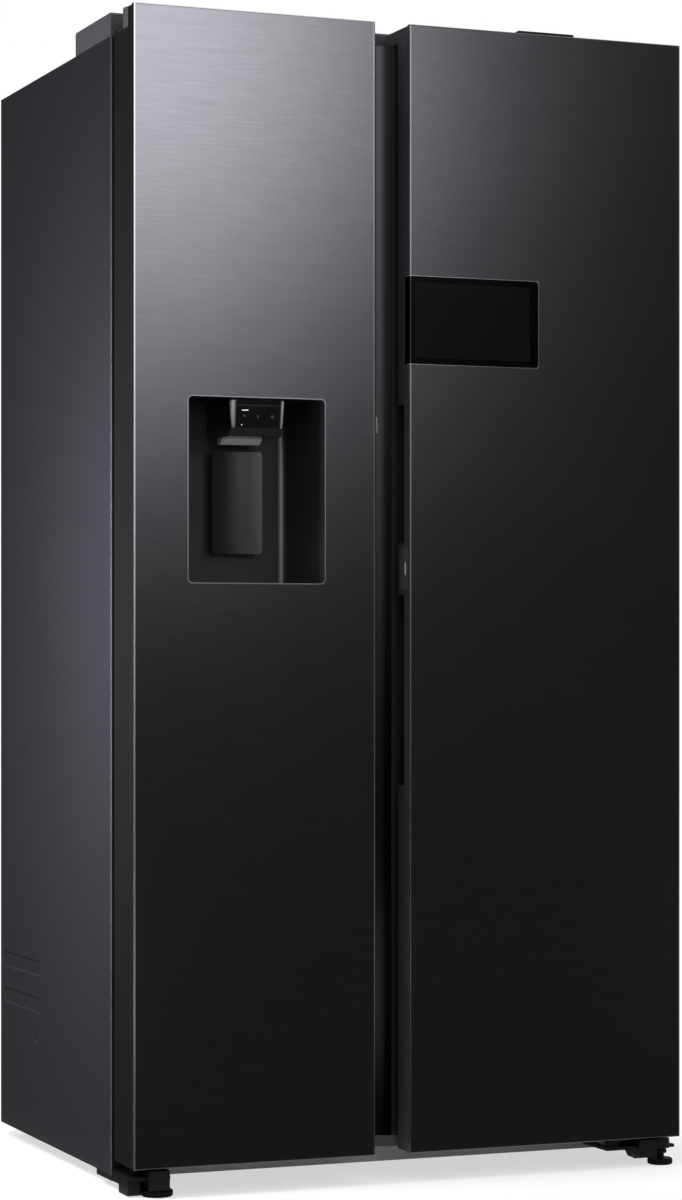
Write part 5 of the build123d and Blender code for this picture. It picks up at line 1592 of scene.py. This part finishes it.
@dataclass
class Cabinet:
    """The case with its insulation, liners, base and covers, with screw places in millimetres."""

    finishes: dict[str, Finish] = field(
        default_factory=lambda: {
            "outer_case": CASE_PAINT,
            "back_panel": ZINC,
            "cabinet_foam": FOAM,
            "front_frame": FRAME_PAINT,
            "base_frame": RAIL_GREY,
            "freezer_liner": LINER_WHITE,
            "fridge_liner": LINER_WHITE,
            "freezer_duct": LINER_WHITE,
            "fridge_duct": LINER_WHITE,
            "fridge_lamp": LAMP,
            "top_cover": COVER_GREY,
            "upper_hinge_left": KNUCKLE_PAINT,
            "upper_hinge_right": KNUCKLE_PAINT,
            "lower_hinge_left": HINGE_PAINT,
            "lower_hinge_right": HINGE_PAINT,
            "machine_cover": ZINC,
        }
    )
    slot_y: Pair = (120 * MM, 340 * MM)
    slot_heights: tuple[float, ...] = (300 * MM, 240 * MM)
    slot_tall: float = 26 * MM
    slot_round: float = 6 * MM
    dimple_y: float = 151 * MM
    dimple_heights: tuple[float, ...] = (186 * MM, 134 * MM, 77 * MM)
    dimple_radius: float = 9 * MM
    mark_deep: float = 0.5 * MM
    screw_radius: float = 4.5 * MM
    screw_high: float = 0.9 * MM
    upper_inset: float = 13 * MM
    upper_screws: tuple[float, ...] = (-425, -212, 0, 212, 425)
    lower_inset: float = 17 * MM
    lower_screws: tuple[float, ...] = (-425, -142, 142, 425)
    rib_box: Box = (-434.6 * MM, -405 * MM, 3 * MM, 26.5 * MM)
    rib_round: float = 1.5 * MM
    rib_y: Pair = (-298.6 * MM, -295.6 * MM)
    lens_inset: Pair = (4 * MM, 8.5 * MM)
    lens_pitch: float = 7 * MM
    lens_lift: float = 0.1 * MM
    lens_deep: float = 0.7 * MM

    def build(self) -> None:
        """Dress the case and everything fixed to it."""
        finish_nodes(self.finishes)
        self.stamps()
        self.screws()
        self.roller_rib()
        self.lamp_lens()

    def stamps(self) -> None:
        """Sloping borders of the marks pressed low into both side walls, with painted shade on their upper
        halves and a painted highlight on their lower halves.
        """
        low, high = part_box("outer_case")
        tall, reach = self.slot_tall / 2, self.dimple_radius
        marks = [((*self.slot_y, z - tall, z + tall), self.slot_round) for z in self.slot_heights]
        wide = (self.dimple_y - reach, self.dimple_y + reach)
        marks += [((*wide, z - reach, z + reach), reach) for z in self.dimple_heights]
        for half, finish in ((Half.UPPER, STAMP_SHADE), (Half.LOWER, STAMP_HIGHLIGHT)):
            borders = [
                pressed_slope(box, radius, side, self.mark_deep, half)
                for side in (low.x, high.x) for box, radius in marks
            ]
            Surface.joined(borders).piece(f"stamp_{half.name.lower()}", "cabinet", "case_paint", finish)

    def screws(self) -> None:
        """Screws along the upper and lower edges of the machine cover."""
        low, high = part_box("machine_cover")
        rows = ((high.z - self.upper_inset, self.upper_screws), (low.z + self.lower_inset, self.lower_screws))
        heads = [
            screw_head(x * MM, z, high.y, self.screw_radius, self.screw_high)
            for z, places in rows for x in places
        ]
        Surface.joined(heads).piece("cover_screws", "cabinet", "hinge_steel", SCREW_ZINC)

    def roller_rib(self) -> None:
        """A rib of the left lower bracket between the roller housing and the foot's block."""
        rib = slab(self.rib_box, self.rib_round, *self.rib_y)
        rib.piece("roller_rib", "cabinet", "hinge_steel", HINGE_PAINT)

    def lamp_lens(self) -> None:
        """A ribbed lens under the lamp bar: its depth is a cosine wave along X, flat along Y."""
        low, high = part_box("fridge_lamp")
        x = np.linspace(low.x + self.lens_inset[0], high.x - self.lens_inset[0], 421)
        y = np.linspace(low.y + self.lens_inset[1], high.y - self.lens_inset[1], 5)
        gx, gy = np.meshgrid(x, y, indexing="ij")
        wave = 0.5 - 0.5 * np.cos(2 * math.pi * (gx - x[0]) / self.lens_pitch)
        points = np.stack([gx, gy, low.z - (self.lens_lift + self.lens_deep * wave)], axis=2)
        Surface.grid(points).piece("lamp_lens", "cabinet", "lamp_diffuser", LAMP)


@dataclass
class Interior:
    """Shelves, drawers and the cold-air parts inside the two compartments."""

    glass: Colour = (0.86, 0.93, 0.92)
    glass_roughness: float = 0.02
    shelf_backs: dict[str, float] = field(
        default_factory=lambda: {"freezer": 195.8 * MM, "fridge": 245.8 * MM}
    )
    drawers: tuple[str, ...] = (
        "freezer_drawer_lower", "freezer_drawer_upper", "crisper_lower", "crisper_upper"
    )

    def build(self) -> None:
        """Dress the shelves, drawers, evaporator and fan."""
        for room, back in self.shelf_backs.items():
            glass = TrimmedGlass(f"{room}_glass", self.glass, self.glass_roughness, back=back)
            finish_node(f"{room}_shelves", glass)
        finish_nodes(dict.fromkeys(self.drawers, DRAWER_CLEAR))
        finish_node("freezer_evaporator", ALUMINIUM)
        finish_node("freezer_fan", VALVE_WHITE)


@dataclass
class MachineSpace:
    """Compressor, condenser, fan, pan and the water and mains entries."""

    finishes: dict[str, Finish] = field(
        default_factory=lambda: {
            "compressor": COMPRESSOR_BLACK,
            "condenser": ALUMINIUM,
            "fan_shroud": BLACK_TRIM,
            "condenser_fan": ROLLER_BLACK,
            "drain_pan": BLACK_TRIM,
            "water_valve": VALVE_WHITE,
            "cord_gland": BLACK_TRIM,
        }
    )

    def build(self) -> None:
        """Dress the machine space."""
        finish_nodes(self.finishes)


@dataclass
class Undercarriage:
    """Feet and rollers."""

    places: tuple[str, ...] = ("left", "right")
    thread_span: Pair = (10.1 * MM, 17.9 * MM)
    stem_radius: float = 6 * MM
    thread_ridge: float = 0.9 * MM
    thread_pitch: float = 1.5 * MM

    def build(self) -> None:
        """Dress the feet and rollers."""
        for place in self.places:
            nodes = (f"{place}_foot", f"front_roller_{place}", f"rear_roller_{place}")
            finish_nodes(dict.fromkeys(nodes, ROLLER_BLACK))
        self.foot_thread()

    def foot_thread(self) -> None:
        """The thread on the bare part of the right foot's stem, between its disc and its nut."""
        low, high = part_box("right_foot")
        centre = ((low.x + high.x) / 2, (low.y + high.y) / 2)
        span = tuple(low.z + height for height in self.thread_span)
        screw = thread(centre, *span, self.stem_radius, self.thread_ridge, self.thread_pitch)
        screw.piece("right_foot_thread", "right_foot", "roller_black", HINGE_PAINT)


@dataclass
class Door:
    """One door: front sheet, body, caps, seal, inner panel and bins, with bin tops in millimetres."""

    name: str
    opening: Box | None = None
    steel: Colour = (0.070, 0.0695, 0.0752)
    steel_roughness: float = 0.17
    side: Finish = DOOR_SIDE
    caps: Finish = DOOR_SIDE
    # edge is the colour of the painted edge highlight, turned that of the turned-back sides.
    edge: Colour = (0.62, 0.62, 0.65)
    turned: Colour = (0.0065, 0.0065, 0.007)
    bin_tops: dict[str, tuple[float, ...]] = field(default_factory=dict)
    rim_inset: float = 2 * MM
    rim_round: float = 14 * MM
    rim_bead: float = 2.2 * MM
    seal_wide: float = 18 * MM
    seal_round: float = 3 * MM
    seal_half: tuple[Pair, ...] = (
        (0.0, 0.0), (0.0, 0.24), (0.16, 0.34), (0.28, 0.46),
        (0.14, 0.60), (0.10, 0.72), (0.10, 0.97), (0.14, 1.0),
    )

    def build(self) -> None:
        """Dress the door and make its seal."""
        low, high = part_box(f"{self.name}_door_skin")
        steel = BrushedSteel(
            f"{self.name}_door_steel", self.steel, self.steel_roughness, panel=(low.x, high.x, high.z),
            opening=self.opening, edge_colour=self.edge, return_colour=self.turned,
        )
        shell = {"skin": steel, "body": self.side, "caps": self.caps, "liner": LINER_WHITE}
        finish_nodes({f"{self.name}_door_{node}": finish for node, finish in shell.items()})
        finish_nodes({f"{self.name}_{size}_bins": BIN_CLEAR for size in ("slim", "deep")})
        self.seal()
        self.bin_rims()

    def bin_rims(self) -> None:
        """A rounded rim bead inside the top of every bin, on its two sides and its front."""
        rims = []
        inset = self.rim_inset
        for node, tops in self.bin_tops.items():
            low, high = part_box(node)
            path = (low.x + inset, high.x - inset, low.y + inset, high.y - inset)
            rims += [bin_rim(path, self.rim_round, top * MM, self.rim_bead) for top in tops]
        Surface.joined(rims).piece(f"{self.name}_bin_rims", f"{self.name}_door", "bin_clear", RIM_WHITE)

    def seal(self) -> None:
        """A door seal with a dart foot, a folded bellows and a flat magnet face.

        One half of the closed profile goes out along the foot, in and out at the fold and up
        to the magnet face, as shares of the seal's width and depth. The other half mirrors it,
        and both are carried round the door.
        """
        low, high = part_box(f"{self.name}_gasket")
        half = np.array(self.seal_half)
        across, up = np.concatenate([half, (half * (-1, 1) + (1, 0))[::-1]]).T
        profile = np.stack([-across * self.seal_wide, low.y + up * (high.y - low.y)], axis=1)
        surface = swept_frame((low.x, high.x, low.z, high.z), self.seal_round, profile)
        replaced = (f"{self.name}_gasket",)
        surface.piece(f"{self.name}_seal", f"{self.name}_door", "seal_grey", SEAL_GREY, replaced)


@dataclass
class FreezerDoor(Door):
    """The left door with the ice and water dispenser."""

    name: str = "freezer"
    bin_tops: dict[str, tuple[float, ...]] = field(
        default_factory=lambda: {
            "freezer_slim_bins": (250, 520), "freezer_deep_bins": (800, 1670), "ice_bucket": (1492,)
        }
    )
    finishes: dict[str, Finish] = field(
        default_factory=lambda: {
            "ice_bucket": BIN_CLEAR,
            "dispenser_housing": TUB_BLACK,
            "dispenser_bezel": BEZEL_STEEL,
            "dispenser_panel": CONTROL_BLACK,
            "dispenser_spout": SPOUT_GREY,
            "dispenser_lever": PADDLE_GREY,
            "drip_tray": RECESS_BLACK,
        }
    )
    panel_lean: float = 5 * MM
    panel_face: float = 45 * MM
    lit_marks: tuple[tuple[float, ...], ...] = ((17, 29.5, 19.2, 17.5, 0.8), (17.6, 19.6, 41.5, 39.5, 0.95))
    icons: tuple[tuple[float, ...], ...] = (
        (42, 46, 30.5, 24.5, 1.9), (65, 70, 30, 25, 0.6), (20, 22, 29, 24.5, 0.5), (23, 25, 29, 24.5, 0.5)
    )

    def build(self) -> None:
        """Dress the door and its dispenser."""
        super().build()
        finish_nodes(self.finishes)
        self.marks("dispenser_lit_marks", self.lit_marks, LIT_MARK)
        self.marks("dispenser_icons", self.icons, DIM_MARK)

    def mark(self, left: float, right: float, low: float, high: float, radius: float) -> Surface:
        """A low domed tile on the leaning face of the control block.

        Its depth grows in step with the distance below the block's top, as the face leans back.

        Args:
            left: Its left limit from the block's left end.
            right: Its right limit from the same end.
            low: Its lower limit below the block's top.
            high: Its upper limit below the same top.
            radius: Its corner radius.

        Returns:
            The tile.
        """
        start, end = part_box("dispenser_panel")
        box = (start.x + left, start.x + right, end.z - low, end.z - high)
        made = tile(box, radius, start.y - TILE_LIFT, TILE_DOME)
        made.points[:, 1] += (end.z - made.points[:, 2]) * (self.panel_lean / self.panel_face)
        return made

    def marks(self, name: str, sizes: tuple[tuple[float, ...], ...], finish: Finish) -> None:
        """Several marks on the control block as one piece.

        Args:
            name: The piece's name.
            sizes: Left, right, low and high limits and the corner radius of each mark in millimetres.
            finish: Their finish.
        """
        tiles = [self.mark(*(size * MM for size in row)) for row in sizes]
        Surface.joined(tiles).piece(name, "freezer_door", "spout_grey", finish)


@dataclass
class FridgeDoor(Door):
    """The right door with the touch screen and the touch plate on its grip side."""

    name: str = "fridge"
    bin_tops: dict[str, tuple[float, ...]] = field(
        default_factory=lambda: {"fridge_slim_bins": (250, 520), "fridge_deep_bins": (800, 1060, 1320, 1580)}
    )
    side: Finish = GRIP_SIDE
    caps: Finish = GRIP_CAP
    # This door's edge highlight is painted dimmer, and its turned-back sides are painted lighter grey as
    # painted light.
    edge: Colour = (0.15, 0.15, 0.16)
    turned: Colour = (0.048, 0.048, 0.053)
    opening: Box = (-19 * MM, 207 * MM, 1257.5 * MM, 1392.5 * MM)
    glass: ScreenGlass = ScreenGlass(
        "screen_glass", (0.0008, 0.0008, 0.0010), 0.10, edge_x=(-10.4 * MM, -9.6 * MM),
        display=(-1.5 * MM, 191.5 * MM, 1267.5 * MM, 1382.5 * MM),
    )
    flange: tuple[Pair, ...] = ((15 * MM, -286 * MM), (-14 * MM, -284 * MM), (-36.4 * MM, -276 * MM))
    strip_box: Box = (174 * MM, 270 * MM, 1779.05 * MM, 1783 * MM)
    strip_round: float = 1.5 * MM
    strip_y: Pair = (-354 * MM, -342.05 * MM)
    grip_line: Box = (-33.8 * MM, -31.9 * MM, 1155.5 * MM, 1180.4 * MM)
    grip_line_round: float = 0.9 * MM
    plate_line: Box = (-1.3 * MM, 1.3 * MM, 931.9 * MM, 955.0 * MM)
    plate_line_round: float = 1.2 * MM
    plate_line_inset: float = 6.5 * MM

    def build(self) -> None:
        """Dress the door, its screen and its touch plate."""
        super().build()
        finish_node("touch_screen", self.glass)
        finish_node("touch_plate", PLATE_GREY)
        self.plate_light()
        self.grip_light()
        self.top_strip()

    def top_strip(self) -> None:
        """The front end of the raised strip on the door's top."""
        strip = slab(self.strip_box, self.strip_round, *self.strip_y)
        strip.piece("door_top_strip", "fridge_door", "black_trim", HINGE_PAINT)

    def flange_y(self, x: Array) -> Array:
        """Depth of the curved flange beside the grip.

        The flange follows the circle through three points of its plan outline, so y is the
        circle's centre minus the root of its radius squared minus (x - centre) squared.

        Args:
            x: Places along X.

        Returns:
            The depths.
        """
        places = np.array(self.flange)
        rows = np.concatenate([2 * places, np.ones((3, 1))], axis=1)
        cx, cy, rest = np.linalg.solve(rows, (places**2).sum(axis=1))
        return cy - np.sqrt(rest + cx**2 + cy**2 - (x - cx) ** 2)

    def grip_light(self) -> None:
        """A small lit line on the flange beside the grip."""
        line = tile(self.grip_line, self.grip_line_round, -TILE_LIFT, TILE_DOME)
        line.points[:, 1] += self.flange_y(line.points[:, 0])
        line.piece("grip_light", "fridge_door", "lamp_diffuser", GRIP_MARK)

    def plate_light(self) -> None:
        """A lit line on the touch plate, turned from a tile that faces -Y to face -X."""
        low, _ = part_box("touch_plate")
        line = tile(self.plate_line, self.plate_line_round, 0.0, TILE_DOME)
        x, y, z = line.points.T
        line.points = np.stack([low.x - TILE_LIFT + y, low.y + self.plate_line_inset - x, z], axis=1)
        line.piece("touch_plate_light", "fridge_door", "lamp_diffuser", PLATE_MARK)


def main() -> None:
    """Build the studio and every sub-assembly, in order."""
    logging.basicConfig(level=logging.INFO, format="%(message)s")
    for kind in (Studio, Cabinet, Interior, MachineSpace, Undercarriage, FreezerDoor, FridgeDoor):
        kind().build()
        LOG.info("built %s", kind.__name__)


if __name__ == "__main__":
    main()
